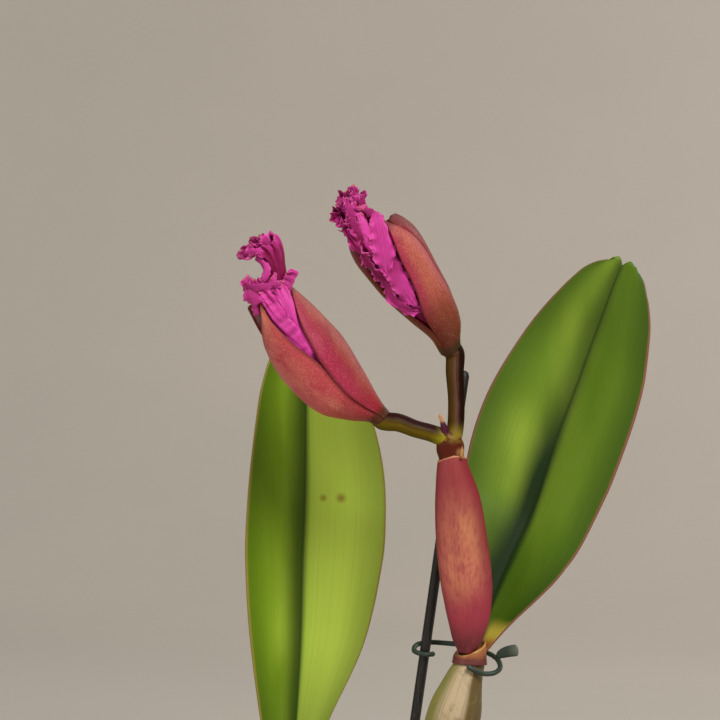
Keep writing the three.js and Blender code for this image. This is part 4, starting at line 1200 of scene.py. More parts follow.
def stalk_skin(name, dark, side, highlight_strip, foot, collar):
    """`dark` and `side` are its two sides, and `highlight_strip` the pale line between them in
    front, a painted highlight.
    """
    r = Recipe(name)
    around, length = r.lay()
    cloud = r.noise(r.place(), 220, 4, 0.55, 0.4)
    lines = r.noise(r.grain(44, 2.5), 1, 3)
    drift = around + (cloud - 0.5) * 0.1
    front = abs(drift * 2 - 1)
    colour = r.layered(
        dark,
        (side, drift.rising(0.66, 0.9) + drift.rising(0.1, 0.0) * 0.6),
        # painted highlight: a pale line down the front
        (highlight_strip, front.rising(0.86, 0.98) * lines.rising(0.35, 0.6) * 0.55),
        (dark, lines.rising(0.5, 0.7) * 0.4),
        (foot, (length + (cloud - 0.5) * 0.1).rising(0.3, 0.12) * 0.9),
        (collar, length.rising(0.86, 0.95) * 0.8),
    )
    fine = r.noise(r.place(), 1800, 2)
    height = lines * 0.5 + fine * 0.5
    return r.finish(
        colour, 0.5, height, 0.0003, 0.45,
        Coat_Weight=0.02, Coat_Roughness=0.3, Specular_IOR_Level=0.12,
    )


left_stalk_skin = stalk_skin(
    "left_stalk_skin", tint(46, 14, 6), tint(98, 82, 10), tint(74, 48, 16), tint(146, 138, 26),
    tint(60, 30, 10),
)
right_stalk_skin = stalk_skin(
    "right_stalk_skin", tint(34, 8, 6), tint(78, 56, 16), tint(124, 82, 82), tint(148, 130, 46),
    tint(82, 46, 16),
)
piece(stalk("left_stalk", LEFT_STALK), left_stalk_skin, "stalk", "pedicel_left")
piece(stalk("right_stalk", RIGHT_STALK), right_stalk_skin, "stalk", "pedicel_right")

# ---- Sepals ----
# Three fleshy scales close round each bud and have begun to part at its tip. They are salmon to
# rose with a waxy, finely stippled skin, and darken to red-brown at the foot, edges and point.
# The darkening towards the edges is partly painted shade, and so are the darker bodies of the
# sepals at the side and back.

# a sepal's thickness, that at its foot, and the share of its length over which it thickens
SEPAL, FOOT, GROWN = 1.3, 0.4, 0.1
# height, how far the middle lies to +X, and the radius outside the sepals
LEFT_BODY = [
    [-3.4, 0.2, 3.3],
    [0, 0, 3.7],
    [5.2, -1.5, 6.3],
    [13.7, -2.7, 10.1],
    [26.7, -1.7, 12.1],
    [36.7, -0.6, 11.5],
    [44.5, 0.9, 9.9],
    [51.1, 2.1, 8.2],
    [56, 3, 6.8],
]
RIGHT_BODY = [
    [-3.4, -0.3, 3.35],
    [0, 0, 3.9],
    [6.8, 2.1, 5.9],
    [16, 2.2, 8.3],
    [24.9, 1.5, 9.9],
    [34, 1.3, 10.9],
    [42, 1.1, 11.3],
    [47, 0.8, 10.4],
    [51, 0.4, 8.6],
    [56, 0, 6.2],
]
# share of the length, height, middle and half-angle round the bud, and standing off the bud
LEFT_SEPALS = {
    "front": [
        [0, -2.6, -57, 60, 0],
        [0.45, 25, -57, 60.6, 0],
        [0.54, 30, -57, 57, 0],
        [0.63, 35, -57, 50, 0],
        [0.71, 38.5, -57, 45, 0],
        [0.78, 42, -54, 36.5, 0],
        [0.86, 46.5, -46, 22, 0],
        [0.93, 50, -36, 11, 0.2],
        [1, 53.9, -28, 3, 0.4],
    ],
    "right": [
        [0, -2.6, 63, 59, 0.1],
        [0.47, 25, 63, 59.4, 0.15],
        [0.7, 36, 65, 51, 0],
        [0.8, 40.5, 67, 46, 0],
        [0.88, 44.5, 69, 36, 0],
        [0.95, 48, 72, 22, 0.1],
        [1, 50.9, 74, 3.4, 0.2],
    ],
    "back": [
        [0, -2.6, 183, 61, 0],
        [0.45, 25, 184, 61, 0],
        [0.66, 36, 189, 53, 0],
        [0.8, 43, 203, 41, 0.2],
        [0.92, 50, 230, 22, 0.6],
        [1, 54.6, 251, 3.6, 0.9],
    ],
}
RIGHT_SEPALS = {
    "front": [
        [0, -0.8, 19, 59.5, 0.1],
        [0.17, 9, 18, 59, 0.1],
        [0.3, 15.5, 20, 52, 0.1],
        [0.4, 20.5, 23, 44, 0.1],
        [0.5, 26, 28, 36, 0.1],
        [0.66, 34, 32, 31.5, 0.1],
        [0.8, 41, 32, 26, 0.1],
        [0.9, 46.5, 34, 18.5, 0.1],
        [1, 53.2, 38, 2.6, 0.3],
    ],
    "back": [
        [0, -0.8, 139, 62, 0],
        [0.17, 9, 138, 63, 0],
        [0.5, 26, 118, 60, 0],
        [0.65, 34, 108, 54, 0],
        [0.78, 40, 99, 51, 0],
        [0.88, 46, 86, 41, 0],
        [0.95, 49.4, 74, 28, 0],
        [1, 51.8, 62, 8, 0],
    ],
    "left": [
        [0, -0.8, -101, 60, 0],
        [0.17, 9, -102, 60.5, 0],
        [0.5, 27, -112, 50, 0],
        [0.8, 43, -103, 44, 0],
        [0.93, 49.5, -92, 31, 0.2],
        [1, 53.4, -79, 4, 0.4],
    ],
}


def soft(value, none, full):
    """0 at `none`, 1 at `full` and soft between, whichever is larger."""
    s = np.clip((value - none) / (full - none), 0, 1)
    return s * s * (3 - 2 * s)


def sepal(name, bud, body, rows, seed, tuck):
    """A sepal. Its left margin tucks in under the next one by `tuck`."""
    def point(u, v):
        height, middle, half, lift = np.moveaxis(along(rows, v), -1, 0)
        shift, radius = np.moveaxis(along(body, height), -1, 0)
        angle = np.radians(middle + u * half)
        flesh = 0.10 * np.sin(7 * v + 3 * u + seed) + 0.08 * np.sin(19 * v - 4 * u + seed)
        keel = 0.12 * np.exp(-((u / 0.16) ** 2)) * v
        grown = soft(v, 0, GROWN)
        r = radius + lift - SEPAL / 2 + (flesh + keel) * np.sin(np.pi * v)
        r = r - tuck * soft(-u, 0.62, 1) * grown + (0.5 - 0.5 * grown) * (SEPAL - FOOT)
        upright = np.stack([shift + r * np.sin(angle), -r * np.cos(angle), height], -1)
        return stood(upright, bud)

    def thickness(u, v):
        return (FOOT + (SEPAL - FOOT) * soft(v, 0, GROWN)) * (1 - 0.25 * u * u)

    return sheet(name, point, thickness, columns=52, rows=110)


def sepal_skin(name, body, flush_and_edge_shade, flank, foot, foot_end, tip):
    """The waxy skin of a sepal: `body` in the middle and `flush_and_edge_shade` in clouds and at
    its margins.

    `flank` colours its left margin, and `foot` three bands down to its neck, which end at
    `foot_end` of its length. The darkening towards the margins and the dark edges are partly
    painted shade.
    """
    r = Recipe(name)
    across, length = r.lay()
    _, back = r.lay("tone")
    off = abs(across * 2 - 1)
    cloud = r.noise(r.place(), 120, 4, 0.6, 0.7)
    patch = r.noise(r.place(), 48, 3, 0.5, 0.5)
    veins = r.noise(r.grain(36, 1.3), 1, 4, 0.6, 0.2)
    stipple = r.noise(r.place(), 1700, 3, 0.7)
    pits = r.cells(r.place(), 1500)
    fading = length + (cloud - 0.5) * 0.25
    colour = r.layered(
        body,
        (flush_and_edge_shade, patch.rising(0.4, 0.62) * 0.6 + cloud.rising(0.42, 0.62) * 0.4),
        (flush_and_edge_shade, veins.rising(0.46, 0.62) * 0.4),
        # crimson margins, partly painted shade where the sepal turns away towards its sides
        (flush_and_edge_shade, off.rising(0.3, 0.85) * 0.75),
        (flank, (across + (cloud - 0.5) * 0.15).rising(0.4, 0.06) * 0.7),
        (foot[0], fading.rising(foot_end, foot_end * 0.45) * 0.8),
        (foot[1], fading.rising(foot_end * 0.55, 0.0) * 0.95),
        (tint(142, 30, 48), stipple.rising(0.5, 0.62) * 0.38),
        (tint(232, 160, 128), stipple.rising(0.44, 0.34) * 0.22),
        # dark red-brown edges, partly painted shade
        (tint(104, 30, 30), off.rising(0.86, 0.985) * (0.4 + veins * 0.7)),
        (foot[2], length.rising(0.08, 0.025) * 0.9),
        (tip, (length + off * 0.02).rising(0.94, 0.985) * 0.9),
        (tint(122, 38, 44), back * 0.7),
    )
    height = stipple * 0.45 + pits * 0.2 + veins * 0.35
    return r.finish(
        colour, 0.4 + stipple * 0.14, height, 0.0005, 0.55,
        Coat_Weight=0.07, Coat_Roughness=0.28, Specular_IOR_Level=0.3,
        Subsurface_Weight=0.06, Subsurface_Radius=(0.003, 0.0012, 0.0008),
    )


# how far each sepal's left margin goes in under its neighbour
TUCKS = {"front": 0, "right": 0, "left": 0.9, "back": 1.0}
TIP = tint(102, 28, 30)
CRIMSON_FOOT = (tint(154, 34, 50), tint(108, 26, 18), tint(74, 40, 14))
BROWN_FOOT = (tint(112, 48, 12), tint(84, 40, 6), tint(62, 42, 12))
CRIMSON, MAGENTA = tint(148, 44, 54), tint(178, 46, 86)
# the darker bodies of the side and back sepals are partly their own deeper colour and partly
# painted shade
SKINS = {
    "left_front": (
        tint(222, 136, 112), tint(186, 70, 78), CRIMSON, CRIMSON_FOOT, 0.3, tint(150, 92, 62),
    ),
    "left_right": (tint(164, 80, 66), tint(144, 38, 58), MAGENTA, CRIMSON_FOOT, 0.26, TIP),
    "left_back": (tint(156, 62, 62), tint(130, 44, 50), CRIMSON, CRIMSON_FOOT, 0.3, TIP),
    "right_front": (tint(190, 102, 84), tint(156, 52, 66), MAGENTA, BROWN_FOOT, 0.55, TIP),
    "right_back": (tint(116, 34, 42), tint(92, 24, 30), CRIMSON, BROWN_FOOT, 0.5, TIP),
    "right_left": (tint(128, 40, 42), tint(96, 26, 32), CRIMSON, BROWN_FOOT, 0.25, TIP),
}
BUDS = {
    "left": (LEFT_BUD, LEFT_BODY, LEFT_SEPALS),
    "right": (RIGHT_BUD, RIGHT_BODY, RIGHT_SEPALS),
}
seed = 0
for side, (bud, body, sepals) in BUDS.items():
    for name, rows in sepals.items():
        made = sepal(f"{side}_sepal_{name}", bud, body, rows, seed, TUCKS[name])
        skin = sepal_skin(f"{side}_{name}_sepal_skin", *SKINS[f"{side}_{name}"])
        piece(made, skin, "sepal", f"{side}_bud_sepal_{name}")
        seed += 1

# ---- Petals ----
# Folded under the sepals and just coming out of each bud: thin satin magenta petals, crumpled
# from lying folded, with ruffled and toothed margins. The scroll and the lip are rolled to tubes.
# Their colour is painted lighter on the ridges of their folds and at their sides, and darker in
# the valleys and towards their feet, as painted light and shade.

PETAL = 0.4  # its thickness
# how far petals stay from the sepals' outside and inside, and how many degrees beyond a sepal's
# edge that starts and is full
CLEAR = {"outside": 0.5, "inside": 0.45, "starts": 8, "full": 1.5}
# rows: x, y, z of its spine, the way it faces, half-width to the left and right, and its curl
# ruffle: the height of the waves along its sides, their number and where they start
# frill: the height of the folds across its end, and their number
# crumple and pleats: the height of its creases, and of closer ones that run across it
# tone, rim and root: how bright it is, how much its sides are painted lighter and its foot
# darker, as painted light and shade
# over: the sepals that it lies over; mesh: the number of faces across and along it
LEFT_PETALS = [
    {
        # the front petal, crumpled in the gap between the sepals
        "rows": [
            [-1, -1.5, 6, -10, 2.5, 2.5, 40],
            [-2.6, -6, 16, -14, 5, 5, 42],
            [-2.2, -9, 26, -10, 5, 4.2, 30],
            [-1.4, -9.9, 33, -8, 4.4, 3.4, 24],
            [-0.5, -9.9, 41, -10, 4.2, 3, 22],
            [0.2, -9.4, 47.4, -14, 4, 3, 24],
            [1.2, -8.8, 53, -16, 3.8, 3.2, 30],
            [2, -7.6, 58, -18, 3.4, 3.2, 44],
        ],
        "ruffle": (0.4, 4, 1), "frill": (0.5, 1.5), "crumple": 0.32, "pleats": 0.36, "tone": 0.86,
        "mesh": (44, 120),
    },
    {
        # the smooth fold beside it, along the right sepal's edge
        "rows": [
            [0.6, -3, 14, 14, 2, 2, 40],
            [1.4, -7.4, 26, 14, 2.6, 2.6, 30],
            [2.2, -9.4, 35, 16, 1.4, 2.6, 30],
            [3.2, -9.9, 41, 18, 1.1, 2.8, 30],
            [4.7, -9.7, 45.7, 20, 1.7, 3, 34],
            [6, -9, 49.7, 22, 2.3, 3, 36],
            [7.3, -7.8, 53, 26, 2.6, 2.6, 44],
            [8, -6.4, 55.4, 30, 2, 1.8, 50],
        ],
        "ruffle": (0.35, 3, 0), "crumple": 0.06, "tone": 0.84, "mesh": (28, 84),
    },
    {
        # the right petal, deeper in
        "rows": [
            [-0.5, -0.5, 6, 60, 2.5, 2.5, 45],
            [-0.4, -3.2, 18, 55, 5.5, 5.5, 55],
            [4, -4.4, 30, 50, 7, 7, 55],
            [5, -4.6, 42, 46, 6.6, 6.6, 50],
            [6, -4, 49, 40, 4.6, 4.6, 40],
            [6.4, -3.4, 54, 36, 3, 3, 30],
        ],
        "ruffle": (0.8, 2, 2.4), "tone": 0, "mesh": (32, 64),
    },
    {
        # the crumpled bulge to the left of the tip
        "rows": [
            [-1.6, -4, 45, -30, 3, 3, 60],
            [-2.1, -6.6, 51.4, -28, 3.3, 3.2, 60],
            [-1.6, -8, 55.6, -26, 3.5, 3.4, 55],
            [-0.6, -8.2, 58.8, -22, 3.3, 3.4, 55],
            [1.2, -6.8, 61, -16, 2.9, 3, 60],
            [3, -4.8, 61.8, -10, 1.8, 2, 60],
        ],
        "ruffle": (1.0, 3.4, 1), "frill": (0.6, 2), "crumple": 0.26, "tone": 0.4, "rim": 0.5,
        "mesh": (40, 72),
    },
    {
        # and the one next to it, under the scroll
        "rows": [
            [1, -6, 49, -5, 3, 3, 50],
            [2.6, -8.4, 54.6, -5, 3.2, 3.2, 50],
            [3.8, -7.8, 58, -5, 3, 3, 60],
            [4.8, -6.2, 60, 0, 2.2, 2.2, 70],
        ],
        "ruffle": (0.7, 3, 2), "frill": (0.5, 2), "crumple": 0.24, "tone": 0.25, "rim": 0.5,
        "mesh": (36, 48),
    },
    {
        # the rolled rim across them
        "rows": [
            [0.2, -7.8, 62.4, -20, 0.6, 1.2, 50],
            [1.7, -9.3, 60, -10, 0.7, 2, 60],
            [3.9, -10, 58, 0, 0.7, 2.2, 60],
            [6.4, -9.6, 56.2, 10, 0.7, 1.8, 60],
            [8.6, -8, 53.6, 20, 0.5, 0.8, 50],
        ],
        "ruffle": (0.4, 3, 0), "tone": 0.5, "rim": 0.6, "mesh": (26, 64),
    },
    {
        # the bright tongue that curls out of the scroll's left edge
        "rows": [
            [8.5, -6.2, 65.4, -40, 0.9, 0.9, 40],
            [8.9, -7.6, 62.6, -36, 1.4, 1.5, 60],
            [8.2, -8.6, 60.6, -30, 1.8, 1.8, 70],
            [6.6, -8.8, 59.2, -26, 1.6, 1.7, 70],
            [4.4, -8, 58.8, -20, 0.7, 0.8, 50],
        ],
        "ruffle": (0.3, 2.5, 0), "crumple": 0.05, "tone": 0.72, "rim": 0.4, "mesh": (24, 48),
    },
    {
        # the small ruffle on the scroll's front
        "rows": [
            [6.8, -6.6, 68.6, -10, 0.7, 0.7, 40],
            [8.8, -8, 68.2, 0, 1.2, 1.2, 60],
            [10.8, -8.8, 66.4, 0, 1.4, 1.4, 70],
            [10.4, -8.2, 64.2, 0, 0.8, 0.8, 60],
        ],
        "ruffle": (0.55, 3, 1), "tone": 0.6, "rim": 0.5, "mesh": (24, 44),
    },
    {
        # the lobe behind the right sepal's tip
        "rows": [
            [6, -1, 40, 50, 2.5, 2.5, 30],
            [9, -1.8, 46, 40, 3, 3, 20],
            [10.8, -3.8, 48.8, 25, 3, 3.8, -5],
            [11.6, -5.6, 51.8, 10, 3.4, 3.6, -12],
            [10.8, -6.6, 54.6, 0, 3, 2.6, -15],
        ],
        "ruffle": (0.35, 3, 0.4), "frill": (0.3, 1.5), "tone": 0.6, "rim": 0.45, "mesh": (38, 68),
    },
    {
        # the dry tooth between the scroll and the rim
        "rows": [
            [6.2, -6.6, 53.6, 0, 1.4, 1.4, 20],
            [7.2, -8, 56, 0, 1.3, 1.3, 20],
            [8.6, -8.4, 57, 0, 0.8, 0.8, 10],
            [9.8, -8.2, 57.8, 0, 0.25, 0.25, 10],
        ],
        "ruffle": (0.2, 2, 0), "tone": 1.2, "mesh": (18, 28),
    },
]
RIGHT_PETALS = [
    {
        # the satin lobe in front, which hangs from the tip and ends in a point
        "rows": [
            [4.3, -6.6, 57.4, 10, 1.2, 1.4, 30],
            [3.5, -8.8, 54.8, 10, 2.2, 3.6, 32],
            [2.3, -9.9, 51.4, 8, 3, 4.8, 30],
            [0.6, -10.5, 48.2, 4, 3.9, 4.6, 28],
            [-1.2, -10.8, 44.8, 0, 4, 4, 28],
            [-2.8, -10.7, 41.6, -4, 2.3, 2.6, 30],
            [-4.2, -10.2, 38.6, -6, 0.5, 0.6, 30],
        ],
        "ruffle": (0.55, 5, 0.5), "crumple": 0.06, "tone": 0.82, "rim": 0.4, "root": 0.1,
        "mesh": (48, 96),
    },
    {
        # the lobe under it, lower down
        "rows": [
            [-0.2, -8.6, 46, 0, 2.4, 2.4, 26],
            [-1, -9.6, 41, 0, 3.2, 3.2, 26],
            [-1.6, -10, 36.8, 0, 3.4, 3.5, 26],
            [-1.9, -10, 32.6, -2, 3.2, 3.3, 28],
            [-2, -9.6, 28, -4, 2.4, 2.5, 28],
            [-2, -8.8, 23.2, -6, 0.6, 0.6, 28],
        ],
        "ruffle": (0.5, 4, 2), "crumple": 0.08, "tone": 0.86, "rim": 0.35, "root": 1.0,
        "mesh": (44, 96),
    },
    {
        # the left petal's ruffle, along the left sepal's edge
        "rows": [
            [-4.2, -4.8, 30, -45, 1.2, 1.6, 30],
            [-5.4, -6.9, 36.2, -40, 1.7, 1.9, 20],
            [-6.4, -7.8, 40.7, -38, 1.7, 1.9, 10],
            [-6.8, -8.1, 45.5, -36, 1.6, 1.9, 0],
            [-6.9, -8, 50.2, -34, 1.7, 1.8, -5],
            [-6.9, -7.2, 54.7, -30, 1.9, 1.9, -5],
            [-6.4, -6, 58.6, -25, 1.6, 1.8, 0],
        ],
        "ruffle": (1.2, 4.3, 0.2), "frill": (0.6, 1.5), "tone": 0.2, "rim": 0.8,
        "over": ["left"], "mesh": (40, 110),
    },
    {
        # the lower ruffle, which turns under the bud's front
        "rows": [
            [-4.8, -6.2, 39.6, -36, 1.2, 1.4, 10],
            [-6, -7, 34, -36, 1.7, 1.8, 10],
            [-6.6, -7.3, 29, -30, 2, 1.9, 5],
            [-5.7, -7.4, 24.8, -20, 1.9, 1.8, 5],
            [-3.4, -7.4, 21.8, -10, 1.6, 1.5, 10],
            [-0.9, -7.2, 19.8, 0, 0.9, 1.1, 20],
        ],
        "ruffle": (1.0, 3, 2.6), "tone": 0.5, "rim": 0.6, "over": ["left"],
        "mesh": (36, 84),
    },
    {
        # the inner fold behind the ruffles, dark with painted shade
        "rows": [
            [-0.6, -2, 8, -20, 2, 2, 30],
            [-1.6, -4.6, 16, -20, 2.8, 3, 30],
            [-3.2, -5.8, 24, -25, 3.4, 3.6, 30],
            [-3.8, -6.6, 32, -25, 4, 4, 35],
            [-3.8, -7, 42, -25, 4, 4, 40],
            [-3.6, -6.8, 52, -25, 3.6, 3.6, 50],
            [-3.4, -5.2, 58, -20, 2.8, 2.8, 50],
        ],
        "ruffle": (0.6, 4, 0), "crumple": 0.2, "tone": 0.05, "mesh": (34, 72),
    },
    {
        # the petal at the back
        "rows": [
            [0, 1, 7, 170, 2.2, 2.2, 45],
            [1.6, 4.6, 18, 170, 5.4, 5.4, 60],
            [1.4, 6.6, 30, 172, 7.4, 7.4, 62],
            [0.6, 6.8, 42, 176, 7.6, 7.6, 62],
            [-0.6, 5.2, 52, 180, 5.6, 5.6, 60],
            [-2, 3.6, 59, 186, 4, 4, 50],
        ],
        "ruffle": (1, 3, 1.6), "frill": (0.8, 2), "tone": 0.35, "mesh": (40, 72),
    },
    {
        # the faded olive fold in the middle
        "rows": [
            [-4.1, -7.6, 44, 5, 1.2, 1.6, 40],
            [-3.5, -8.8, 49, 5, 1.5, 2.2, 45],
            [-2.4, -9.2, 53.4, 5, 1.6, 2.4, 50],
            [-1.3, -8.6, 57.4, 5, 1.5, 2, 55],
            [-0.6, -7, 61, 5, 1, 1.2, 60],
        ],
        "ruffle": (0.3, 3, 0), "crumple": 0.3, "tone": 1.16, "mesh": (26, 64),
    },
    {
        # the pink fold to the left of it
        "rows": [
            [-5.4, -7.2, 46, -24, 1.2, 1.6, 20],
            [-4.9, -8, 51, -22, 1.5, 2, 25],
            [-4.3, -8.4, 56, -20, 1.7, 2.2, 30],
            [-3.7, -8, 60.5, -18, 1.8, 2, 40],
            [-3.1, -7, 64.4, -16, 1.4, 1.4, 50],
        ],
        "ruffle": (0.7, 4, 1), "tone": 0.3, "rim": 0.6, "mesh": (30, 72),
    },
    {
        # the pale roll in the middle of the frill
        "rows": [
            [-3.6, -6.6, 58, 0, 1.2, 1.4, 50],
            [-3, -8, 61.6, 0, 1.5, 2.2, 60],
            [-2.2, -8.2, 64.6, 0, 1.6, 2.3, 60],
            [-1, -7.4, 67.4, 0, 1.4, 1.8, 50],
        ],
        "ruffle": (0.7, 3, 0), "frill": (0.6, 2), "tone": 0.5, "rim": 0.55, "mesh": (30, 48),
    },
    {
        # the prong on the right
        "rows": [
            [-0.8, -4, 59.2, 0, 1.6, 1.6, 50],
            [1.4, -5, 61.4, 0, 1.3, 1.6, 50],
            [3.4, -5.2, 63.2, 0, 1, 1.2, 40],
            [4.8, -5, 64.8, 0, 0.6, 0.6, 30],
        ],
        "ruffle": (0.6, 3, 1), "frill": (0.5, 1.5), "tone": 0.5, "rim": 0.4, "mesh": (24, 40),
    },
    {
        # the prong above it
        "rows": [
            [-0.6, -4.6, 61.8, 0, 1.8, 1.8, 50],
            [1, -5.4, 64.6, 0, 1.7, 1.7, 40],
            [2.2, -5.6, 66.8, 0, 1.4, 1.5, 30],
            [2.9, -5.4, 68.6, 0, 1.1, 1.1, 30],
        ],
        "ruffle": (0.7, 3, 2), "frill": (0.7, 1.5), "tone": 0.6, "rim": 0.4, "mesh": (26, 40),
    },
    {
        # the dry orange scrap under the prongs
        "rows": [
            [-0.6, -6.2, 62.2, 0, 0.7, 0.7, 40],
            [1.2, -7.2, 61.6, 0, 0.9, 0.9, 60],
            [3.2, -6.6, 60.9, 0, 0.6, 0.6, 40],
        ],
        "ruffle": (0.35, 3, 0), "crumple": 0.2, "tone": 1.34, "mesh": (18, 32),
    },
    {
        # the purple fold between the frill and the sepals' tips
        "rows": [
            [-0.6, -2.4, 57.6, 0, 1.6, 1.6, 60],
            [1.2, -4.2, 58.4, 10, 2, 2, 70],
            [3, -5.8, 57, 20, 1.8, 1.8, 60],
            [4.8, -6.8, 54.2, 25, 1.1, 1.1, 40],
        ],
        "ruffle": (0.3, 2.5, 0), "crumple": 0.3, "tone": 0.3, "mesh": (26, 44),
    },
]
# rows: x, y, z of its middle, and the tube's reach to the left, right and front
# slant and nod: how much higher its right side and its back are; wrap: half its turn in degrees
LEFT_SCROLLS = [
    {
        # the scroll that stands out of the left bud's tip
        "rows": [
            [6, -2.6, 47, 2.6, 2.2, 2],
            [8, -3.2, 53.4, 3, 2.7, 2.1],
            [10.8, -4, 58.4, 3.2, 3.2, 2.5],
            [12.6, -4.4, 62.2, 3.6, 4, 2.9],
            [13.2, -4.8, 65.4, 4.8, 4.5, 3.2],
            [12.9, -5.2, 68.2, 8, 4.8, 3.8],
        ],
        "facing": 0, "wrap": 196, "slant": -2.4, "nod": 1.2, "ruffle": (0.55, 10, 0.4),
        "tone": 0.08, "mesh": (120, 64),
    },
    {
        # the frill inside it
        "rows": [
            [8.6, -3.2, 54, 1.8, 1.8, 1.4],
            [11.6, -3.6, 60, 2, 2.2, 1.6],
            [12.7, -3.9, 64.4, 2.6, 2.8, 1.8],
            [12.2, -4, 68.6, 4.6, 3.2, 2.4],
        ],
        "facing": 24, "wrap": 188, "slant": -1.2, "nod": 0.1, "ruffle": (0.9, 6, 2.2),
        "tone": 0.4, "mesh": (90, 48),
    },
]
RIGHT_SCROLLS = [
    {
        # the lip's mouth on the left of the right bud's tip
        "rows": [
            [-4.6, -2.4, 50, 1.6, 1.6, 1.4],
            [-4.6, -3.6, 56, 2, 2, 1.8],
            [-4.9, -4.8, 60.4, 2.7, 2.5, 2.3],
            [-5.3, -5.6, 63.4, 3.4, 2.9, 2.8],
        ],
        "facing": -24, "wrap": 192, "slant": -0.4, "nod": 1.6, "ruffle": (0.72, 7, 0),
        "tone": 0.2, "mesh": (90, 48),
    },
    {
        # the frill inside it
        "rows": [
            [-4.2, -3, 53, 1.3, 1.3, 1.1],
            [-4.6, -4.2, 58.6, 1.6, 1.6, 1.4],
            [-5, -5, 62.8, 2.4, 2.1, 1.9],
        ],
        "facing": -10, "wrap": 186, "slant": 0, "nod": 0.6, "ruffle": (0.8, 6, 1),
        "tone": 0.3, "mesh": (72, 36),
    },
    {
        # the lip's mouth on top
        "rows": [
            [-2.4, -2.6, 52, 2, 2, 1.8],
            [-1.6, -3.4, 58, 2.4, 2.4, 2],
            [-0.8, -3.8, 62.6, 2.9, 2.9, 2.3],
            [-0.4, -4.2, 66.2, 3.9, 3.2, 2.8],
        ],
        "facing": 6, "wrap": 192, "slant": -0.2, "nod": 1.0, "ruffle": (0.72, 7, 1.2),
        "tone": 0.2, "mesh": (90, 52),
    },
    {
        # and the frill inside that
        "rows": [
            [-1.7, -3, 55, 1.3, 1.3, 1.1],
            [-1, -3.6, 61, 1.7, 1.7, 1.4],
            [-0.6, -4, 66.2, 2.9, 2.4, 2],
        ],
        "facing": -8, "wrap": 186, "slant": 0.3, "nod": 0.2, "ruffle": (0.85, 6, 2.6),
        "tone": 0.45, "mesh": (72, 36),
    },
]


def tucked(points, body, sepals, over):
    """Petal points kept under the sepals that cover them, or outside the ones named in over."""
    x, y, z = np.moveaxis(points, -1, 0)
    shift, radius = np.moveaxis(along(body, z), -1, 0)
    r = np.hypot(x - shift, y)
    angle = np.arctan2(x - shift, -y)
    for name, rows in sepals.items():
        table = [[row[1], *row[2:]] for row in rows]
        middle, half, lift = np.moveaxis(along(table, z), -1, 0)
        off = np.abs((np.degrees(angle) - middle + 180) % 360 - 180)
        beside = soft(off, half + CLEAR["starts"], half + CLEAR["full"])
        cover = beside * soft(z, table[-1][0] + 1, table[-1][0] - 0.5)
        outside = radius + lift + CLEAR["outside"]
        inside = radius + lift - SEPAL - CLEAR["inside"]
        if name in over:
            r = r + cover * np.maximum(outside - r, 0)
        else:
            r = r - cover * np.maximum(r - inside, 0)
    return np.stack([shift + r * np.sin(angle), -r * np.cos(angle), z], -1)


def creases(path, size, seed):
    """Sharp creases about `size` apart, as in crumpled silk, from about -1 to 1."""
    return 1 - 2.6 * np.abs(rough(path, size, seed, 2))


def petal(name, n, bud, body, sepals, spec):
    """The nth petal of a bud, in waves and creases and kept clear of the sepals."""
    rows = measured(spec["rows"])
    length = np.linalg.norm(np.diff(rows[:, 1:4], axis=0), axis=1).sum()
    height, ripples, phase = spec["ruffle"]
    frill, folds = spec.get("frill", (0.25, 1.5))
    crumple, pleats = spec.get("crumple", 0.1), spec.get("pleats", 0)
    lit_margin, deeper = spec.get("rim", 0.3), spec.get("root", 0.3)

    def point(u, v):
        facing, left, right, curl = np.moveaxis(along(rows, v)[..., 3:7], -1, 0)
        middle, go, face, side = spine(rows, v, facing)
        width = np.where(u < 0, left, right)
        bend = np.radians(np.where(np.abs(curl) < 0.6, 0.6, curl))
        out = width * np.sin(u * bend) / bend
        back = width * (1 - np.cos(u * bend)) / bend
        hand = np.tanh(8 * u)
        margin, brim = soft(np.abs(u), 0.3, 1), soft(np.abs(u), 0.62, 1)
        ending = soft(v, 0.7, 1)
        turn = 2 * np.pi * ripples * v + phase + 1.7 * hand
        swell = height * margin * np.minimum(4 * v, 1)
        ruffle = swell * (np.sin(turn) + 0.5 * brim * np.sin(2.7 * turn + n))
        sway = 0.5 * swell * (np.cos(turn) + 0.7 * brim * np.sin(3.1 * turn + 2 * n))
        turn = 2 * np.pi * folds * u + phase
        edge = frill * ending * (np.sin(turn) + 0.5 * ending * np.sin(2.6 * turn + n))
        path = np.stack([u * width, length * v, 9.0 * n + 0 * u], -1)
        relief = crumple * creases(path, 5.2, n + 1) * (0.45 + 0.55 * margin)
        relief = relief + pleats * creases(path * [0.35, 1, 1], 3.4, n + 3)
        teeth = (0.16 + 0.2 * height) * brim * rough(path * [0.3, 1, 1], 1.5, n + 5, 4)
        jags = 0.45 * soft(v, 0.9, 1) * rough(path * [1, 0.3, 1], 0.9, n + 9, 2)
        middle = middle + side * (out + hand * (sway + teeth))[..., None]
        middle = middle + face * (ruffle - back + edge + relief)[..., None]
        middle = middle + go * (0.7 * frill * ending * np.cos(1.3 * turn) + jags)[..., None]
        return stood(tucked(middle, body, sepals, spec.get("over", ())), bud)

    def thickness(u, v):
        return PETAL * (1 - 0.5 * u ** 4)

    # painted light on the sides and painted shade towards the foot
    def tone(u, v):
        return spec["tone"] - 0.1 + lit_margin * np.abs(u) ** 3 - deeper * (1 - v) ** 3

    return sheet(name, point, thickness, *spec["mesh"], tone, gather=0.6, folds=0.3)


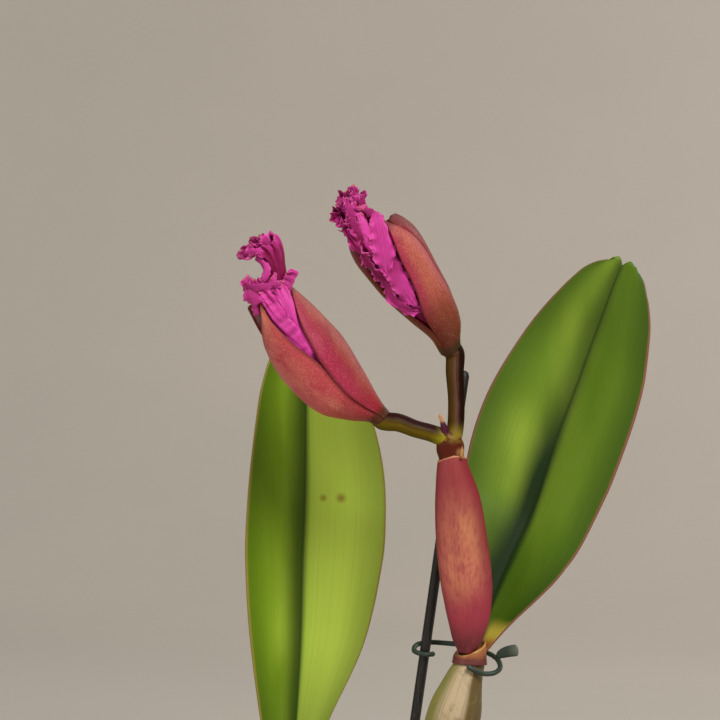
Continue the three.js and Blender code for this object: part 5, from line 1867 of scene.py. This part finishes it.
def scroll(name, n, bud, spec):
    """A petal rolled to a tube, whose mouth flares and is frilled all round."""
    rows = measured(spec["rows"])
    height, waves, phase = spec["ruffle"]

    def point(u, v):
        left, right, front = np.moveaxis(along(rows, v)[..., 3:6], -1, 0)
        middle, go, face, side = spine(rows, v, spec["facing"])
        around = np.radians(spec["wrap"]) * u
        mouth, rim = soft(v, 0.56, 1), soft(v, 0.78, 1)
        turn = waves * around + phase + 0.8 * np.sin(2.3 * around + n)
        fold = height * mouth * (np.sin(turn) + 0.9 * rim * np.sin(2.3 * turn + 3 * n))
        path = np.stack([4 * np.sin(around), 4 * np.cos(around), 20 * v + 9.0 * n], -1)
        fold = fold + 0.09 * creases(path * [1, 1, 0.3], 3.6, n + 21) * soft(v, 0.05, 0.3)
        reach = np.where(np.sin(around) > 0, right, left) + fold + 0.35 * u
        up = 0.6 * height * rim * np.cos(turn) + rim * 0.9 * rough(path * [1, 1, 0.2], 1, n + 31, 3)
        up = up + mouth * (spec["slant"] * np.sin(around) - spec["nod"] * np.cos(around))
        middle = middle + side * (reach * np.sin(around))[..., None]
        middle = middle + face * ((front + fold) * np.cos(around))[..., None]
        return stood(middle + go * up[..., None], bud)

    def thickness(u, v):
        return PETAL * (1 - 0.5 * v ** 4) + 0 * u

    def tone(u, v):
        return spec["tone"] - 0.1 + 0.5 * soft(v, 0.82, 1)

    return sheet(
        name, point, thickness, *spec["mesh"], tone, gather=0.1, back_tone=0.5, folds=0.3,
    )


def petal_skin():
    """Satin magenta: paler on the backs, deeper inside the scrolls, and tan where it faded."""
    r = Recipe("petal_skin")
    across, length = r.lay()
    tone, back = r.lay("tone")
    off = abs(across * 2 - 1)
    veins = r.noise(r.grain(52, 1.5), 1, 4, 0.6, 0.25)
    cloud = r.noise(r.place(), 260, 4, 0.6, 0.4)
    rim = off.rising(0.84, 0.99) + length.rising(0.94, 1.0)
    inside = back.rising(0.2, 0.4) * back.rising(0.8, 0.6)
    faded = tone.rising(1.1, 1.6)
    colour = r.layered(
        tint(126, 2, 66),
        (tint(236, 74, 180), tone * 0.9 + (cloud - 0.5) * 0.4),
        (tint(160, 16, 94), veins.rising(0.5, 0.62) * 0.5),
        (tint(255, 150, 216), veins.rising(0.42, 0.3) * tone.rising(0.4, 1.0) * 0.5),
        (tint(240, 128, 190), rim * cloud.rising(0.35, 0.6) * 0.4),
        (tint(132, 8, 74), inside * 0.6),
        (tint(212, 112, 166), back.rising(0.7, 0.9) * 0.3),
        (tint(204, 132, 76), rim * cloud.rising(0.58, 0.66) * 0.75),
        (tint(196, 118, 92), faded * cloud.rising(0.3, 0.6) * 0.8),
    )
    fine = r.noise(r.place(), 2200, 2)
    return r.finish(
        colour, 0.4 + cloud * 0.14, veins * 0.7 + fine * 0.3, 0.0006, 0.6,
        Specular_IOR_Level=0.3,
        Subsurface_Weight=0.08, Subsurface_Radius=(0.003, 0.0006, 0.0015),
    )


COLUMN = {"from": 1.2, "to": 12, "clear": 0.6, "radius": 4}


def column(name, bud, body):
    """The short hidden column that the petals grow from, between the feet of the sepals."""
    rows = []
    for t in (0, 0.25, 0.5, 0.75, 1):
        z = COLUMN["from"] + (COLUMN["to"] - COLUMN["from"]) * t
        shift, radius = along(body, z)
        r = min(radius - SEPAL - COLUMN["clear"], COLUMN["radius"]) * (0.7 if t == 1 else 1)
        rows.append([t, *stood([shift, 0, z], bud), r, r])
    made = tube(name, hoops(rows, 24, 30, ends=0.1))
    layer = made.data.uv_layers.new(name="tone")
    layer.uv.foreach_set("vector", [0.3, 0.0] * len(made.data.loops))
    return made


def petals(name, bud, body, sepals, flat, rolled):
    parts = [column("column", bud, body)]
    parts += [petal("petal", n, bud, body, sepals, spec) for n, spec in enumerate(flat)]
    parts += [scroll("scroll", n, bud, spec) for n, spec in enumerate(rolled)]
    return joined(name, parts)


magenta = petal_skin()
SPECS = {"left": (LEFT_PETALS, LEFT_SCROLLS), "right": (RIGHT_PETALS, RIGHT_SCROLLS)}
for side, specs in SPECS.items():
    made = petals(f"{side}_petals", *BUDS[side], *specs)
    piece(made, magenta, "petal", f"{side}_bud_petals")

# ---- Stake ----
# A thin rod pushed down through the bark behind the stem, to hold it up. It is steel wire in a
# black plastic coat, satin, scuffed along its length, with a short blunt point on top.

STAKE = {
    "radius": 1.7, "bottom": (-11.6, 20.6, 12), "top": (27.1, 4, 287.4), "point": 1.6,
    "sides": 28, "steps": 14,
}


def stake():
    bottom, top = np.array(STAKE["bottom"]), np.array(STAKE["top"])
    length = np.linalg.norm(top - bottom)
    shares = [0, 0.0015, 0.4, 0.8, 1 - STAKE["point"] / length, 1 - 0.5 / length, 1]
    radii = np.array([0.8, 1, 1, 1, 1, 0.72, 0.3]) * STAKE["radius"]
    rows = []
    for low, high, r0, r1 in zip(shares, shares[1:], radii, radii[1:]):
        for k in range(STAKE["steps"]):
            s = k / STAKE["steps"]
            rows.append((low + (high - low) * s, r0 + (r1 - r0) * s))
    rows.append((1, radii[-1]))
    line = np.array([[t, *(bottom + (top - bottom) * t), r] for t, r in rows])
    middle, _, face, side = spine(line, line[:, 0])
    angle = round_about(STAKE["sides"])[None, :, None]
    around = side[:, None] * np.sin(angle) + face[:, None] * np.cos(angle)
    return tube("stake_rod", middle[:, None] + line[:, 4, None, None] * around)


def plastic_coat():
    r = Recipe("black_plastic_coat")
    scuff = r.noise(r.place((900, 900, 60)), 1, 3, 0.6)
    dust = r.noise(r.place(), 400, 4)
    colour = r.layered(
        tint(27, 23, 22),
        (tint(58, 52, 48), scuff.rising(0.55, 0.75) * 0.8),
        (tint(92, 84, 74), dust.rising(0.62, 0.78) * 0.5),
    )
    return r.finish(colour, 0.42 + scuff * 0.25, scuff * 0.6 + dust * 0.4, 0.0004, 0.6)


piece(stake(), plastic_coat(), "stake", "support_stake")

# ---- Tie ----
# A soft green plastic strap hooked round the stake, passed behind the bulb's neck and looped
# back over its front, with a flat tab on the loop. Its edges are rounded and slightly shiny.
# The lighter grey at the tab's end is a painted highlight.

TIE_ROUTE = [
    [17.2, 7.6, 192.3],
    [13.8, 6.4, 192.2],
    [10.3, 8.6, 193.2],
    [11.2, 12.2, 194.9],
    [15, 13.6, 195.6],
    [20.6, 11, 195.6],
    [25, 9, 195.3],
    [30, 8.4, 194.2],
    [34, 6.4, 193],
    [36.6, 3.2, 192],
    [38.2, 0.4, 190.6],
    [38.6, -2, 188.6],
    [36.7, -4.4, 187.2],
    [33, -5.6, 187],
    [29.6, -7, 188.4],
    [27.4, -7, 189.8],
]
TAB_ROUTE = [
    [37.8, 1, 191.4, 0.7, 0.5],
    [39, 0.8, 192.8, 1.5, 0.55],
    [41.4, 0.2, 193.8, 1.9, 0.55],
    [44.8, -0.8, 194.4, 2, 0.55],
]


STRAND_RADIUS = 0.85


def tie():
    def ribbed(angle, t):
        return 1 - 0.1 * np.abs(np.cos(angle)) + 0.02 * np.sin(160 * t)

    strand = [[*point, STRAND_RADIUS, STRAND_RADIUS] for point in TIE_ROUTE]
    parts = [
        tube("strand", hoops(measured(strand), 24, 260, ribbed, 0.012)),
        tube("tab", hoops(measured(TAB_ROUTE), 32, 50, ends=0.12)),
    ]
    return joined("tie_strap", parts)


def soft_plastic():
    r = Recipe("soft_green_plastic")
    cloud = r.noise(r.place(), 300, 3)
    fine = r.noise(r.place(), 1500, 2)
    # painted highlight: lighter grey round the tab's end
    end = r.near((45, -0.8, 194.4), 4.5)
    colour = r.layered(tint(28, 42, 34), (tint(50, 66, 54), cloud), (tint(104, 108, 98), end * 0.8))
    return r.finish(colour, 0.45, cloud * 0.4 + fine * 0.6, 0.0003, 0.5)


piece(tie(), soft_plastic(), "tie", "plant_tie")
